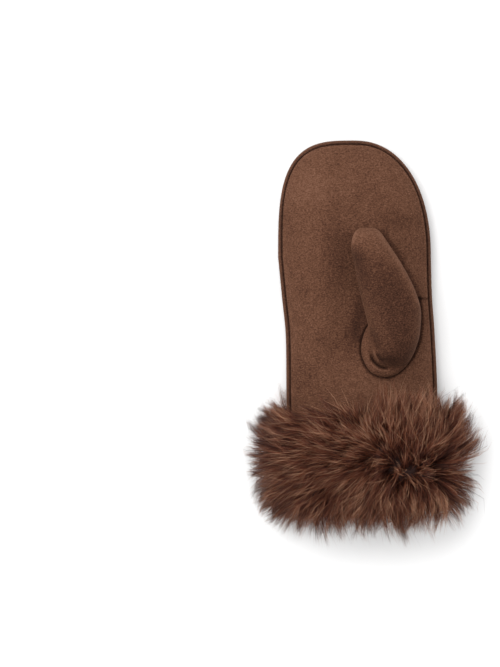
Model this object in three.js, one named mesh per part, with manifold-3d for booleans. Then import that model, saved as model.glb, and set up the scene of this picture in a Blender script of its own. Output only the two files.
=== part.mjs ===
// A woman's right-hand mitten of suede cloth with a fur cuff, lying palm up. Millimetres, +Z up.
// It is worked out with the hem at y = 0, the fingertips towards +Y and the thumb on the +X side,
// and the finished group is moved so that the middle of its footprint is the origin.
import * as THREE from "three";
import { mergeVertices } from "three/addons/utils/BufferGeometryUtils.js";
import Module from "manifold-3d";

const wasm = await Module();
wasm.setup();

// Hand part
const sideLength = 175; // hem to the line where the rounded end begins
const tipRise = 84; // height of the rounded end
const handWidth = 110;
const tipSquareOuter = 3.3; // 2 is an ellipse, more is squarer: the side away from the thumb
const tipSquareThumb = 2.2;
const crownHeight = 17; // palm above its seam
const gussetHeight = 10;
const backEdgeRise = 3; // the back panels turn up this much at their seam
const backEdgeWidth = 12;
const backSeamInset = 4; // from the outline seen from above
const palmSeamInset = 2.6;
const wall = 3; // suede cloth bonded to its pile
const seamGap = 0.3;

// Cuff and the raised seams on the back
const crossSeamUp = 90;
const crossSeamDip = 3.5;
const crossSeamDipWidth = 18;
const cuffLift = 5.5; // the fur under the cuff holds it up
const cuffLiftFrom = 84;
const cuffLiftTo = 30;
const weltWidth = 3.4;
const weltHeight = 2.4;
const weltProud = 1.3;
const weltGap = 0.3;

// Thumb
const thumbBottom = 95; // from the hem to its crease
const thumbLength = 101.5;
const thumbWidth = 41;
const thumbHeight = 23;
const thumbSunk = 0.5; // share of its height that an arched stretch would go on below the palm
const thumbAcross = 22; // middle of its foot, from the middle of the hem
const thumbRollRadius = 4.6;
const thumbRollLift = 1.2;
const rollHeart = 0.26; // share of thumbLength that the roll turns round
const thumbHoleWidth = 29;
const thumbHoleLength = 42;
const thumbHoleUp = 121;
const thumbHoleLean = 10; // degrees
const dartClear = 3; // from the hole to the short seam between the thumb and the side
const dartUp = thumbHoleUp + thumbHoleLength / 2 + dartClear;
const dartGap = 0.4;

// Fur
const furBand = 58; // hem to the band's upper edge
const furDepth = 22; // dense fur round the cuff
const furToThumb = 0.15; // share by which it is deeper on the thumb's side and shallower opposite
const furFlatter = 0.08; // share by which it is shallower over the palm
const furBelow = 15; // dense fur past the hem
const furAbove = 7; // dense fur past the band's upper edge
const partingAcross = 23; // middle of the short line that the hair lies away from
const partingUp = 23;
const partingLength = 30;
const partingLean = -14; // degrees
const partingReach = 22; // from the line to where the locks lean fully
const partingWidth = 15; // of the dip in the fur over the line
const partingDip = 0.42; // share of furDepth
const locksAround = 20;
const lockLength = 11.5;
const lockWidth = 17;
const lockThickness = 12;
const lockSunk = 7;
const lockLean = 1.5; // away from the parting for each millimetre outwards
const furGap = 0.3;

// Outline and fullness of the hand, from the hem to the line where the rounded end begins:
// up is a share of sideLength, outer and thumb of handWidth, crown of crownHeight.
const handRows = [
  { up: 0, outer: 0.471, thumb: 0.478, crown: 0.82 },
  { up: 0.22, outer: 0.48, thumb: 0.492, crown: 0.86 },
  { up: 0.43, outer: 0.488, thumb: 0.501, crown: 0.94 },
  { up: 0.68, outer: 0.493, thumb: 0.484, crown: 1 },
  { up: 0.845, outer: 0.519, thumb: 0.466, crown: 1 },
  { up: 1, outer: 0.5425, thumb: 0.459, crown: 0.97 },
];

// Hollows of the palm: across is a share of handWidth from the middle of the hem, up of the whole
// length, wide and long of handWidth, deep of crownHeight, and lean is in degrees.
const palmHollows = [
  { across: -0.08, up: 0.5, wide: 0.12, long: 0.36, deep: 0.28, lean: -8 },
  { across: 0.4, up: 0.6, wide: 0.1, long: 0.22, deep: 0.14, lean: 0 },
  { across: -0.1, up: 0.83, wide: 0.3, long: 0.16, deep: 0.1, lean: 20 },
];

// Raised middle seam of the back: up is a share of the whole length, across of handWidth from the
// middle of the hand.
const middleSeamRows = [
  { up: 0, across: -0.078 },
  { up: 0.34, across: -0.083 },
  { up: 0.5, across: -0.09 },
  { up: 0.66, across: -0.084 },
  { up: 0.8, across: -0.062 },
  { up: 0.9, across: -0.04 },
  { up: 0.96, across: -0.012 },
  { up: 1, across: 0.01 },
];

// Thumb from its foot to its tip: up is a share of thumbLength, left and right of thumbWidth from
// its middle, high of thumbHeight, and round says how far it is a tube of its own and not an arch.
const thumbRows = [
  { up: 0.008, left: -0.2, right: 0.15, high: 0.3, round: 0 },
  { up: 0.04, left: -0.28, right: 0.28, high: 0.48, round: 0 },
  { up: 0.1, left: -0.35, right: 0.37, high: 0.66, round: 0 },
  { up: 0.2, left: -0.41, right: 0.465, high: 0.84, round: 0 },
  { up: 0.3, left: -0.42, right: 0.5, high: 0.95, round: 0 },
  { up: 0.42, left: -0.49, right: 0.5, high: 1, round: 0.15 },
  { up: 0.54, left: -0.57, right: 0.41, high: 1, round: 0.9 },
  { up: 0.65, left: -0.62, right: 0.285, high: 0.98, round: 1 },
  { up: 0.76, left: -0.68, right: 0.13, high: 0.94, round: 1 },
  { up: 0.85, left: -0.72, right: -0.015, high: 0.88, round: 1 },
  { up: 0.92, left: -0.7, right: -0.13, high: 0.76, round: 1 },
  { up: 0.965, left: -0.65, right: -0.21, high: 0.6, round: 1 },
  { up: 0.992, left: -0.57, right: -0.3, high: 0.38, round: 1 },
];

// Outer line of the roll at the thumb's foot: across is a share of thumbWidth from its middle, up of
// thumbLength and is below nothing past the crease, thick of thumbRollRadius.
const thumbRollRows = [
  { across: -0.44, up: 0.29, thick: 0.7 },
  { across: -0.51, up: 0.2, thick: 0.9 },
  { across: -0.52, up: 0.1, thick: 1 },
  { across: -0.46, up: 0.03, thick: 1 },
  { across: -0.36, up: -0.03, thick: 1 },
  { across: -0.22, up: -0.058, thick: 1 },
  { across: -0.08, up: -0.062, thick: 1 },
  { across: 0.06, up: -0.042, thick: 1 },
  { across: 0.21, up: 0.006, thick: 0.95 },
  { across: 0.35, up: 0.08, thick: 0.75 },
  { across: 0.44, up: 0.16, thick: 0.5 },
  { across: 0.49, up: 0.26, thick: 0.35 },
];

// Section of the dense fur: out is a share of furDepth from the cuff and below nothing inside it,
// up of the way from the lower end of the fur to its upper end.
const furRows = [
  { out: -0.1, up: 0.14 },
  { out: 0.25, up: 0.03 },
  { out: 0.58, up: 0 },
  { out: 0.86, up: 0.08 },
  { out: 1, up: 0.3 },
  { out: 1, up: 0.6 },
  { out: 0.84, up: 0.84 },
  { out: 0.5, up: 0.97 },
  { out: 0.2, up: 1 },
  { out: -0.1, up: 0.95 },
];

// Rings of locks: up and out place their roots as in furRows, lean is how much more they point up
// the hand than away from the parting, and long is a share of lockLength.
const furLockRows = [
  { up: 0.08, out: 0.6, lean: -0.6, long: 0.95 },
  { up: 0.27, out: 0.93, lean: -0.2, long: 1 },
  { up: 0.48, out: 0.98, lean: 0, long: 0.95 },
  { up: 0.69, out: 0.95, lean: 0.2, long: 1 },
  { up: 0.9, out: 0.62, lean: 0.7, long: 1 },
];

// One lock from its root to its tip: up is a share of its length, wide of its width and thickness.
const lockRows = [
  { up: 0, wide: 0.85 },
  { up: 0.5, wide: 1 },
  { up: 1, wide: 0.26 },
];

const colours = {
  suede: new THREE.MeshStandardMaterial({ color: 0x734e3d, roughness: 0.95, metalness: 0 }),
  welt: new THREE.MeshStandardMaterial({ color: 0x2e1a14, roughness: 0.7, metalness: 0 }),
  fur: new THREE.MeshStandardMaterial({ color: 0x4a2e23, roughness: 0.8, metalness: 0 }),
};

const handLength = sideLength + tipRise;
const mix = THREE.MathUtils.lerp;
const ease = (t) => THREE.MathUtils.smoothstep(t, 0, 1);
const radians = THREE.MathUtils.degToRad;

// The value of a table's column between its rows, on a smooth curve through them.
function read(table, column, up) {
  const last = table.length - 1;
  const at = THREE.MathUtils.clamp(up, table[0].up, table[last].up);
  let i = 0;
  while (i < last - 1 && table[i + 1].up < at) i += 1;
  const slope = (k) => {
    const a = table[Math.max(k - 1, 0)];
    const b = table[Math.min(k + 1, last)];
    return (b[column] - a[column]) / (b.up - a.up);
  };
  const span = table[i + 1].up - table[i].up;
  const t = (at - table[i].up) / span;
  const rise = t * t * (3 - 2 * t);
  return (
    mix(table[i][column], table[i + 1][column], rise) +
    span * (t * (1 - t) ** 2 * slope(i) - t * t * (1 - t) * slope(i + 1))
  );
}

// Solids

// A closed body from loose vertices and triangles that meet at equal places.
function solid(points, faces) {
  const flat = new Float32Array(points.flatMap((p) => [p.x, p.y, p.z]));
  const geometry = new THREE.BufferGeometry();
  geometry.setAttribute("position", new THREE.BufferAttribute(flat, 3));
  geometry.setIndex(faces.flat());
  const made = fromGeometry(geometry);
  return made.volume() < 0 ? fromGeometry(geometry, true) : made;
}

function fromGeometry(geometry, turned = false) {
  const bare = geometry.clone();
  bare.deleteAttribute("normal");
  bare.deleteAttribute("uv");
  const merged = mergeVertices(bare, 1e-4);
  const index = [];
  for (let i = 0; i < merged.index.count; i += 3) {
    const [a, b, c] = [0, 1, 2].map((k) => merged.index.getX(i + k));
    if (a === b || b === c || c === a) continue;
    index.push(...(turned ? [a, c, b] : [a, b, c]));
  }
  return new wasm.Manifold(
    new wasm.Mesh({
      numProp: 3,
      vertProperties: merged.attributes.position.array,
      triVerts: new Uint32Array(index),
    }),
  );
}

// Triangles between neighbouring rows of points that start at the given numbers.
function strip(faces, rowA, rowB, count, turned) {
  for (let j = 0; j < count - 1; j += 1) {
    const [a, b, c, d] = [rowA + j, rowA + j + 1, rowB + j, rowB + j + 1];
    if (turned) faces.push([a, c, b], [b, c, d]);
    else faces.push([a, b, c], [b, d, c]);
  }
}

// A wall between outer and inner rows of points. Its first and last rows are closed over, and so
// are the starts and ends of its rows, unless they meet others on the hand's middle line.
function wallSolid(outer, inner, closeStarts, closeEnds) {
  const points = [...outer.flat(), ...inner.flat()];
  const count = outer[0].length;
  const innerFrom = outer.length * count;
  const faces = [];
  for (let i = 0; i < outer.length - 1; i += 1) {
    strip(faces, i * count, (i + 1) * count, count, false);
    strip(faces, innerFrom + i * count, innerFrom + (i + 1) * count, count, true);
    for (const [on, at, turned] of [
      [closeStarts, 0, true],
      [closeEnds, count - 1, false],
    ]) {
      if (!on) continue;
      const [a, b] = [i * count + at, (i + 1) * count + at];
      const [c, d] = [innerFrom + a, innerFrom + b];
      if (turned) faces.push([a, b, c], [b, d, c]);
      else faces.push([a, c, b], [b, c, d]);
    }
  }
  strip(faces, 0, innerFrom, count, true);
  const lastRow = (outer.length - 1) * count;
  strip(faces, lastRow, innerFrom + lastRow, count, false);
  return solid(points, faces);
}

// A body through closed rings of points, with a flat end on the first and the last.
function loft(rings) {
  const count = rings[0].length;
  const points = rings.flat();
  const faces = [];
  for (let i = 0; i < rings.length - 1; i += 1)
    for (let j = 0; j < count; j += 1) {
      const [a, b] = [i * count + j, i * count + ((j + 1) % count)];
      faces.push([a, b, a + count], [b, b + count, a + count]);
    }
  for (const [ring, turned] of [
    [0, true],
    [rings.length - 1, false],
  ]) {
    const middle = rings[ring]
      .reduce((sum, p) => sum.add(p), new THREE.Vector3())
      .divideScalar(count);
    points.push(middle);
    for (let j = 0; j < count; j += 1) {
      const [a, b] = [ring * count + j, ring * count + ((j + 1) % count)];
      faces.push(turned ? [b, a, points.length - 1] : [a, b, points.length - 1]);
    }
  }
  return solid(points, faces);
}

// The upright body over a closed outline of [x, y] pairs.
function prism(outline, low, high) {
  const shape = new THREE.Shape(outline.map(([x, y]) => new THREE.Vector2(x, y)));
  const geometry = new THREE.ExtrudeGeometry(shape, { depth: high - low, bevelEnabled: false });
  geometry.translate(0, 0, low);
  return fromGeometry(geometry);
}

function largest(made) {
  return made.decompose().reduce((a, b) => (a.volume() > b.volume() ? a : b));
}

function meshOf(name, made, material) {
  const { vertProperties, triVerts } = made.getMesh();
  const geometry = new THREE.BufferGeometry();
  geometry.setAttribute("position", new THREE.BufferAttribute(vertProperties, 3));
  geometry.setIndex(new THREE.BufferAttribute(triVerts, 1));
  geometry.computeVertexNormals();
  const mesh = new THREE.Mesh(geometry, material);
  mesh.name = name;
  return mesh;
}

// Form of the hand

const outerEdge = (y) => -handWidth * read(handRows, "outer", y / sideLength);
const thumbEdge = (y) => handWidth * read(handRows, "thumb", y / sideLength);
const middle = (y) => (outerEdge(y) + thumbEdge(y)) / 2;
const backHeight = (y) =>
  weltProud + cuffLift * ease((cuffLiftFrom - y) / (cuffLiftFrom - cuffLiftTo));
const seamHeight = (y) => backHeight(y) + backEdgeRise + gussetHeight;

// Places round the outline from the outer end of the hem, over the tip, to the thumb end, each with
// the point of the middle line that it is drawn from.
function outlinePlaces() {
  const sideRows = 14;
  const tipSteps = 16;
  const side = (edge, k) => {
    const y = (sideLength * k) / sideRows;
    return { edge: new THREE.Vector2(edge(y), y), from: new THREE.Vector2(middle(y), y) };
  };
  const rows = Array.from({ length: sideRows + 1 }, (_, k) => k);
  const focus = new THREE.Vector2(middle(sideLength), sideLength);
  const half = (thumbEdge(sideLength) - outerEdge(sideLength)) / 2;
  const tip = [];
  for (let k = 1; k < tipSteps; k += 1) {
    const angle = Math.PI * (1 - k / tipSteps);
    const square = angle > Math.PI / 2 ? tipSquareOuter : tipSquareThumb;
    const [c, s] = [Math.cos(angle), Math.sin(angle)];
    const edge = new THREE.Vector2(
      focus.x + half * Math.sign(c) * Math.abs(c) ** (2 / square),
      focus.y + tipRise * s ** (2 / square),
    );
    tip.push({ edge, from: focus });
  }
  return [
    ...rows.map((k) => side(outerEdge, k)),
    ...tip,
    ...rows.reverse().map((k) => side(thumbEdge, k)),
  ];
}

// How far the back has turned up at a distance in from the outline.
function backTurnUp(inset) {
  return backEdgeRise * Math.max(0, 1 - (inset - backSeamInset) / backEdgeWidth) ** 2;
}

function hollowDepth(x, y) {
  let depth = 0;
  for (const hollow of palmHollows) {
    const lean = radians(hollow.lean);
    const [dx, dy] = [x - hollow.across * handWidth, y - hollow.up * handLength];
    const u = (dx * Math.cos(lean) + dy * Math.sin(lean)) / (hollow.wide * handWidth);
    const v = (dy * Math.cos(lean) - dx * Math.sin(lean)) / (hollow.long * handWidth);
    depth += hollow.deep * crownHeight * Math.exp(-u * u - v * v);
  }
  return depth;
}

// The palm rises steeply from its seam and then bows gently to the middle.
const palmRise = (share) => (1 - (1 - share) ** 2.4) ** 0.62;
const palmSteps = 9;
const palmShares = Array.from({ length: palmSteps + 1 }, (_, k) => (k / palmSteps) ** 1.7);
const backShares = [1, 0.64, 0.3, 0.18, 0.09, 0];

// Height of the palm's outer side over a point at a share of the way from the seam to the middle.
function palmHeight(x, y, share) {
  const crown = crownHeight * read(handRows, "crown", y / sideLength);
  return seamHeight(y) + crown * palmRise(share) - hollowDepth(x, y) * Math.min(1, share * 3);
}

// The section that runs in from one place of the outline: points of its back, gusset and palm, each
// with how far it lies from the outline and how high.
function sectionAt({ edge, from }, distance) {
  const reach = edge.distanceTo(from);
  const point = (inset, height) => {
    const at = edge.clone().lerp(from, inset / reach);
    return new THREE.Vector3(at.x, at.y, height(at.x, at.y));
  };
  const back = backShares.map((share) => {
    const inset = mix(backSeamInset, reach, share);
    return point(inset, (x, y) => backHeight(y) + backTurnUp(inset));
  });
  const gusset = [0, 0.2, 0.5, 0.8, 1].map((t) => {
    const inset = mix(backSeamInset, palmSeamInset, t) * (1 - 2 * t) ** 2;
    return point(inset, (x, y) => backHeight(y) + backEdgeRise + gussetHeight * t);
  });
  const palm = palmShares.map((share) => {
    const inset = mix(palmSeamInset, reach, share);
    return point(inset, (x, y) => palmHeight(x, y, share));
  });
  return moved({ back, gusset, palm }, edge, from, distance);
}

// The same section moved square to itself, outwards for a positive distance.
function moved(section, edge, from, distance) {
  const all = [...section.back, ...section.gusset.slice(1, -1), ...section.palm];
  const out = edge.clone().sub(from).normalize();
  const flat = all.map((p) => new THREE.Vector2(p.x * out.x + p.y * out.y, p.z));
  const last = all.length - 1;
  const shifted = all.map((p, i) => {
    const run = flat[Math.min(i + 1, last)].clone().sub(flat[Math.max(i - 1, 0)]).normalize();
    const normal = new THREE.Vector2(run.y, -run.x);
    if (i === 0) normal.set(0, -1);
    if (i === last) normal.set(0, 1);
    return new THREE.Vector3(
      p.x + out.x * normal.x * distance,
      p.y + out.y * normal.x * distance,
      p.z + normal.y * distance,
    );
  });
  const [n, m] = [section.back.length, section.gusset.length];
  return {
    back: shifted.slice(0, n),
    gusset: shifted.slice(n - 1, n + m - 1),
    palm: shifted.slice(n + m - 2),
  };
}

const places = outlinePlaces();
const sectionsMoved = (distance) => places.map((place) => sectionAt(place, distance));
const outside = sectionsMoved(0);
const inside = sectionsMoved(-wall);
const wholeRow = (s) => [...s.back, ...s.gusset.slice(1, -1), ...s.palm];

// The hand as one full body, grown by a clearance and run on past the hem.
function handBody(clearance, pastHem) {
  const rows = sectionsMoved(clearance).map(wholeRow);
  const past = (row) => row.map((p) => new THREE.Vector3(p.x, -pastHem, p.z));
  const all = [past(rows[0]), ...rows, past(rows[rows.length - 1])];
  const count = all[0].length;
  const faces = [];
  for (let i = 0; i < all.length - 1; i += 1) strip(faces, i * count, (i + 1) * count, count, false);
  strip(faces, (all.length - 1) * count, 0, count, false);
  return solid(all.flat(), faces);
}

// How far a point is from the hand's outline, and how far that is from the middle line, measured
// on the line from the middle line through the point.
function placeOf(x, y) {
  const centre = middle(Math.min(y, sideLength));
  const edge = x < centre ? outerEdge(Math.min(y, sideLength)) : thumbEdge(Math.min(y, sideLength));
  const across = Math.abs(x - centre) / Math.abs(edge - centre);
  if (y <= sideLength) {
    const reach = Math.abs(edge - centre);
    return { inset: (1 - across) * reach, reach };
  }
  const square = x < centre ? tipSquareOuter : tipSquareThumb;
  const share = (across ** square + ((y - sideLength) / tipRise) ** square) ** (1 / square);
  const reach = Math.hypot(x - centre, y - sideLength) / share;
  return { inset: (1 - share) * reach, reach };
}

function palmSurface(x, y) {
  const { inset, reach } = placeOf(x, y);
  const share = (inset - palmSeamInset) / (reach - palmSeamInset);
  return palmHeight(x, y, THREE.MathUtils.clamp(share, 0, 1));
}

function backSurface(x, y) {
  return backHeight(y) + backTurnUp(Math.max(placeOf(x, y).inset, backSeamInset));
}

// Panels

function panel(part, gapStart, gapEnd) {
  const trim = (sections) =>
    sections.map((section) => {
      const row = section[part].map((p) => p.clone());
      if (gapStart) drawIn(row[0], row[1]);
      if (gapEnd) drawIn(row[row.length - 1], row[row.length - 2]);
      return row;
    });
  return wallSolid(trim(outside), trim(inside), gapStart, gapEnd);
}

// Moves the end of a row back towards the next point, to leave a seam.
function drawIn(end, next) {
  end.addScaledVector(next.clone().sub(end).normalize(), seamGap / 2);
}

const far = handLength * 2;
const middleSeam = (y) => middle(y) + handWidth * read(middleSeamRows, "across", y / handLength);
const crossMiddle = middleSeam(crossSeamUp);
const crossSeam = (x) =>
  crossSeamUp - crossSeamDip * Math.exp(-(((x - crossMiddle) / crossSeamDipWidth) ** 2));

// All that lies on one side of the middle seam, -1 for the outer side and 1 for the thumb's side.
function besideMiddleSeam(side) {
  const steps = 24;
  const line = Array.from({ length: steps + 1 }, (_, k) => {
    const y = mix(crossSeamUp / 2, handLength, k / steps);
    return [middleSeam(y) + (side * seamGap) / 2, y];
  });
  const foot = [line[0][0], -far];
  const top = [line[steps][0], far];
  return prism([foot, ...line, top, [side * far, far], [side * far, -far]], -far, far);
}

// All that lies above the cross seam, for 1, or below it, for -1.
function besideCrossSeam(side) {
  const steps = 20;
  const line = Array.from({ length: steps + 1 }, (_, k) => {
    const x = mix(-handWidth, handWidth, k / steps);
    return [x, crossSeam(x) + (side * seamGap) / 2];
  });
  return prism([...line, [handWidth, side * far], [-handWidth, side * far]], -far, far);
}

// A raised seam: an oval bar along a line of the back's outer side.
function weltBar(line, grown) {
  const sides = 8;
  const tall = weltHeight / 2 / Math.cos(Math.PI / sides);
  const rings = line.map((p, i) => {
    const before = line[Math.max(i - 1, 0)];
    const after = line[Math.min(i + 1, line.length - 1)];
    const run = after.clone().sub(before).setZ(0).normalize();
    const across = new THREE.Vector3(-run.y, run.x, 0);
    return Array.from({ length: sides }, (_, k) => {
      const angle = (2 * Math.PI * (k + 0.5)) / sides;
      const up = (tall + grown) * Math.sin(angle);
      return p
        .clone()
        .addScaledVector(across, (weltWidth / 2 + grown) * Math.cos(angle))
        .setZ(p.z + up);
    });
  });
  return loft(rings);
}

function weltPoint(x, y) {
  return new THREE.Vector3(x, y, backSurface(x, y) - weltProud + weltHeight / 2);
}

function middleWeltLine(longer) {
  const steps = 22;
  const from = crossSeam(crossMiddle) + weltWidth / 2 + weltGap - longer;
  const to = handLength - backSeamInset - weltGap - weltHeight / 2 + longer;
  return Array.from({ length: steps + 1 }, (_, k) => {
    const y = mix(from, to, k / steps);
    return weltPoint(middleSeam(y), y);
  });
}

function crossWeltLine(longer) {
  const steps = 18;
  const from = outerEdge(crossSeamUp) + backSeamInset + weltGap - longer;
  const to = thumbEdge(crossSeamUp) - backSeamInset - weltGap + longer;
  return Array.from({ length: steps + 1 }, (_, k) => {
    const x = mix(from, to, k / steps);
    return weltPoint(x, crossSeam(x));
  });
}

// The four pieces of the back, with a channel for the raised seams.
function backPanels() {
  const whole = panel("back", false, true)
    .subtract(weltBar(middleWeltLine(weltGap), weltGap))
    .subtract(weltBar(crossWeltLine(weltGap * 2), weltGap));
  const names = [
    ["back_panel_outer", -1, 1],
    ["back_panel_inner", 1, 1],
    ["cuff_panel_outer", -1, -1],
    ["cuff_panel_inner", 1, -1],
  ];
  return names.map(([name, side, above]) => {
    const cut = whole.intersect(besideMiddleSeam(side)).intersect(besideCrossSeam(above));
    return meshOf(name, largest(cut), colours.suede);
  });
}

function palmPanel() {
  const low = seamHeight(thumbHoleUp);
  const across = thumbAcross + thumbHoleWidth / 4;
  const dart = [
    [across, dartUp - dartGap / 2],
    [handWidth, dartUp - dartGap / 2],
    [handWidth, dartUp + dartGap / 2],
    [across, dartUp + dartGap / 2],
  ];
  return panel("palm", true, false)
    .subtract(thumbHole(low, low + crownHeight * 2))
    .subtract(prism(dart, backHeight(dartUp), low + crownHeight * 2));
}

// Thumb

const thumbY = (share) => thumbBottom + thumbLength * share;

function thumbRing(row, inset) {
  const sides = 18;
  const shrink = (thumbLength - 2 * inset) / thumbLength;
  const y = thumbY(0.5 + (row.up - 0.5) * shrink);
  const left = thumbAcross + thumbWidth * row.left + inset;
  const right = thumbAcross + thumbWidth * row.right - inset;
  const [x, half] = [(left + right) / 2, (right - left) / 2];
  const foot = palmSurface(x, y);
  const top = foot + thumbHeight * row.high - inset;
  const low = foot - (1 - row.round) * thumbHeight * thumbSunk + inset + seamGap;
  const [z, tall] = [(top + low) / 2, (top - low) / 2];
  return Array.from({ length: sides }, (_, k) => {
    const angle = (2 * Math.PI * k) / sides;
    return new THREE.Vector3(x + half * Math.cos(angle), y, z + tall * Math.sin(angle));
  });
}

// The opening between palm and thumb.
function thumbHole(low, high) {
  const steps = 20;
  const lean = radians(thumbHoleLean);
  const outline = Array.from({ length: steps }, (_, k) => {
    const angle = (2 * Math.PI * k) / steps;
    const u = (thumbHoleWidth / 2) * Math.cos(angle);
    const v = (thumbHoleLength / 2) * Math.sin(angle);
    return [
      thumbAcross + u * Math.cos(lean) + v * Math.sin(lean),
      thumbHoleUp + v * Math.cos(lean) - u * Math.sin(lean),
    ];
  });
  return prism(outline, low, high);
}

// The roll that the thumb's foot makes where it is gathered into the palm.
function thumbRoll() {
  const [sides, steps] = [8, 22];
  const heart = new THREE.Vector2(thumbAcross, thumbY(rollHeart));
  const line = new THREE.CatmullRomCurve3(
    thumbRollRows.map(({ across, up, thick }) => {
      const radius = thumbRollRadius * thick;
      const edge = new THREE.Vector2(thumbAcross + thumbWidth * across, thumbY(up));
      edge.add(heart.clone().sub(edge).setLength(radius));
      return new THREE.Vector3(edge.x, edge.y, radius);
    }),
  );
  const rings = line.getPoints(steps).map((p, i) => {
    const run = line.getTangent(i / steps).setZ(0).normalize();
    const across = new THREE.Vector3(-run.y, run.x, 0);
    const height = palmSurface(p.x, p.y) + thumbRollLift;
    return Array.from({ length: sides }, (_, k) => {
      const angle = (2 * Math.PI * k) / sides;
      return p
        .clone()
        .addScaledVector(across, p.z * Math.cos(angle))
        .setZ(height + p.z * Math.sin(angle));
    });
  });
  return loft(rings);
}

function thumb() {
  const outer = loft(thumbRows.map((row) => thumbRing(row, 0))).add(thumbRoll());
  const inner = loft(thumbRows.map((row) => thumbRing(row, wall)));
  const low = seamHeight(thumbHoleUp);
  const high = palmSurface(thumbAcross, thumbHoleUp) + thumbHeight / 3;
  const cut = outer.subtract(handBody(seamGap, 1)).subtract(inner).subtract(thumbHole(low, high));
  return largest(cut);
}

// Fur

// The line round the cuff's outer side at a height up the hand, from the middle of the back.
function cuffLoop(y) {
  const side = (edge) => {
    const place = { edge: new THREE.Vector2(edge(y), y), from: new THREE.Vector2(middle(y), y) };
    return wholeRow(sectionAt(place, furGap));
  };
  const points = [...side(outerEdge), ...side(thumbEdge).reverse().slice(1, -1)];
  return new THREE.CatmullRomCurve3(
    points.map((p) => new THREE.Vector3(p.x, 0, p.z)),
    true,
  );
}

const furTop = furBand + furAbove;
const furY = (share) => mix(-furBelow, furTop, share);
const furLoops = new Map();

// The way to a point from the line that the hair lies away from, seen from above.
function fromParting(x, y) {
  const lean = radians(partingLean);
  const line = new THREE.Vector2(Math.cos(lean), Math.sin(lean));
  const away = new THREE.Vector2(x - partingAcross, y - partingUp);
  const half = partingLength / 2;
  return away.addScaledVector(line, -THREE.MathUtils.clamp(away.dot(line), -half, half));
}

// A point of the fur: around is a share of the way round, out how far it stands off the cuff.
function furPoint(around, up, out) {
  const y = THREE.MathUtils.clamp(furY(up), 0, furBand);
  if (!furLoops.has(y)) furLoops.set(y, cuffLoop(y));
  const loop = furLoops.get(y);
  const p = loop.getPointAt(around);
  const run = loop.getTangentAt(around);
  const way = new THREE.Vector3(-run.z, 0, run.x);
  const top = Math.max(way.z, 0);
  const parted = top * Math.exp(-((fromParting(p.x, furY(up)).length() / partingWidth) ** 2));
  const deep = 1 + furToThumb * way.x - furFlatter * top - partingDip * parted;
  const off = out > 0 ? out * deep : out;
  return { point: p.addScaledVector(way, off).setY(furY(up)), way, parted };
}

function furCore() {
  const around = 28;
  const points = [];
  const faces = [];
  const count = furRows.length;
  for (let i = 0; i < around; i += 1)
    for (let j = 0; j < count; j += 1) {
      const { out, up } = furRows[j];
      points.push(furPoint(i / around, up, furDepth * out).point);
      const [a, b] = [i * count + j, i * count + ((j + 1) % count)];
      const next = ((i + 1) % around) * count - i * count;
      faces.push([a, b, a + next], [b, b + next, a + next]);
    }
  return solid(points, faces);
}

// A number between -1 and 1 that looks random, the same for the same seed.
const vary = (seed) => 2 * THREE.MathUtils.euclideanModulo(Math.sin(seed * 12.9898) * 43758.5453, 1) - 1;

// One tapered lock of fur, rooted in the dense fur and leaning up or down the hand.
function furLock(row, around, seed) {
  const sides = 5;
  const { point, way, parted } = furPoint(around, row.up, furDepth * row.out - lockSunk);
  const away = fromParting(point.x, point.y);
  away.multiplyScalar(lockLean / Math.max(away.length(), partingReach));
  const run = new THREE.Vector3(away.x, away.y + row.lean, 0).add(way);
  run.add(new THREE.Vector3(vary(seed), vary(seed + 1), vary(seed + 2)).multiplyScalar(0.2));
  const shorter = 1 - partingDip * parted;
  const length = lockSunk + lockLength * row.long * shorter * (1 + 0.25 * vary(seed + 3));
  run.setLength(length);
  const across = new THREE.Vector3(0, 1, 0).cross(run).setLength(lockWidth / 2);
  const through = run.clone().cross(across).setLength(lockThickness / 2);
  const bend = across.clone().multiplyScalar(0.8 * vary(seed + 4));
  const rings = lockRows.map(({ up, wide }) => {
    const centre = point.clone().addScaledVector(run, up).addScaledVector(bend, up * up);
    return Array.from({ length: sides }, (_, k) => {
      const angle = (2 * Math.PI * k) / sides;
      return centre
        .clone()
        .addScaledVector(across, wide * Math.cos(angle))
        .addScaledVector(through, wide * Math.sin(angle));
    });
  });
  return loft(rings);
}

function furCuff() {
  const locks = [];
  furLockRows.forEach((row, i) => {
    for (let k = 0; k < locksAround; k += 1) {
      const around = (k + 0.5 * (i % 2) + 0.2 * vary(i * 97 + k)) / locksAround;
      locks.push(furLock(row, THREE.MathUtils.euclideanModulo(around, 1), i * 131 + k * 7 + 1));
    }
  });
  const fur = locks.reduce((all, lock) => all.add(lock), furCore());
  const floor = prism([[-far, -far], [far, -far], [far, far], [-far, far]], -far, 0);
  return largest(fur.subtract(handBody(furGap, far / 4)).subtract(floor));
}

const mitten = new THREE.Group();
mitten.add(
  meshOf("palm_panel", palmPanel(), colours.suede),
  meshOf("thumb", thumb(), colours.suede),
  meshOf("side_gusset", panel("gusset", true, true), colours.suede),
  ...backPanels(),
  meshOf("centre_seam", weltBar(middleWeltLine(0), 0), colours.welt),
  meshOf("cross_seam", weltBar(crossWeltLine(0), 0), colours.welt),
  meshOf("fur_cuff", furCuff(), colours.fur),
);

// The origin goes to the middle of the footprint.
const box = new THREE.Box3().setFromObject(mitten);
mitten.position.set(-(box.min.x + box.max.x) / 2, -(box.min.y + box.max.y) / 2, -box.min.z);

export default mitten;
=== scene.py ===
import math

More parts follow.
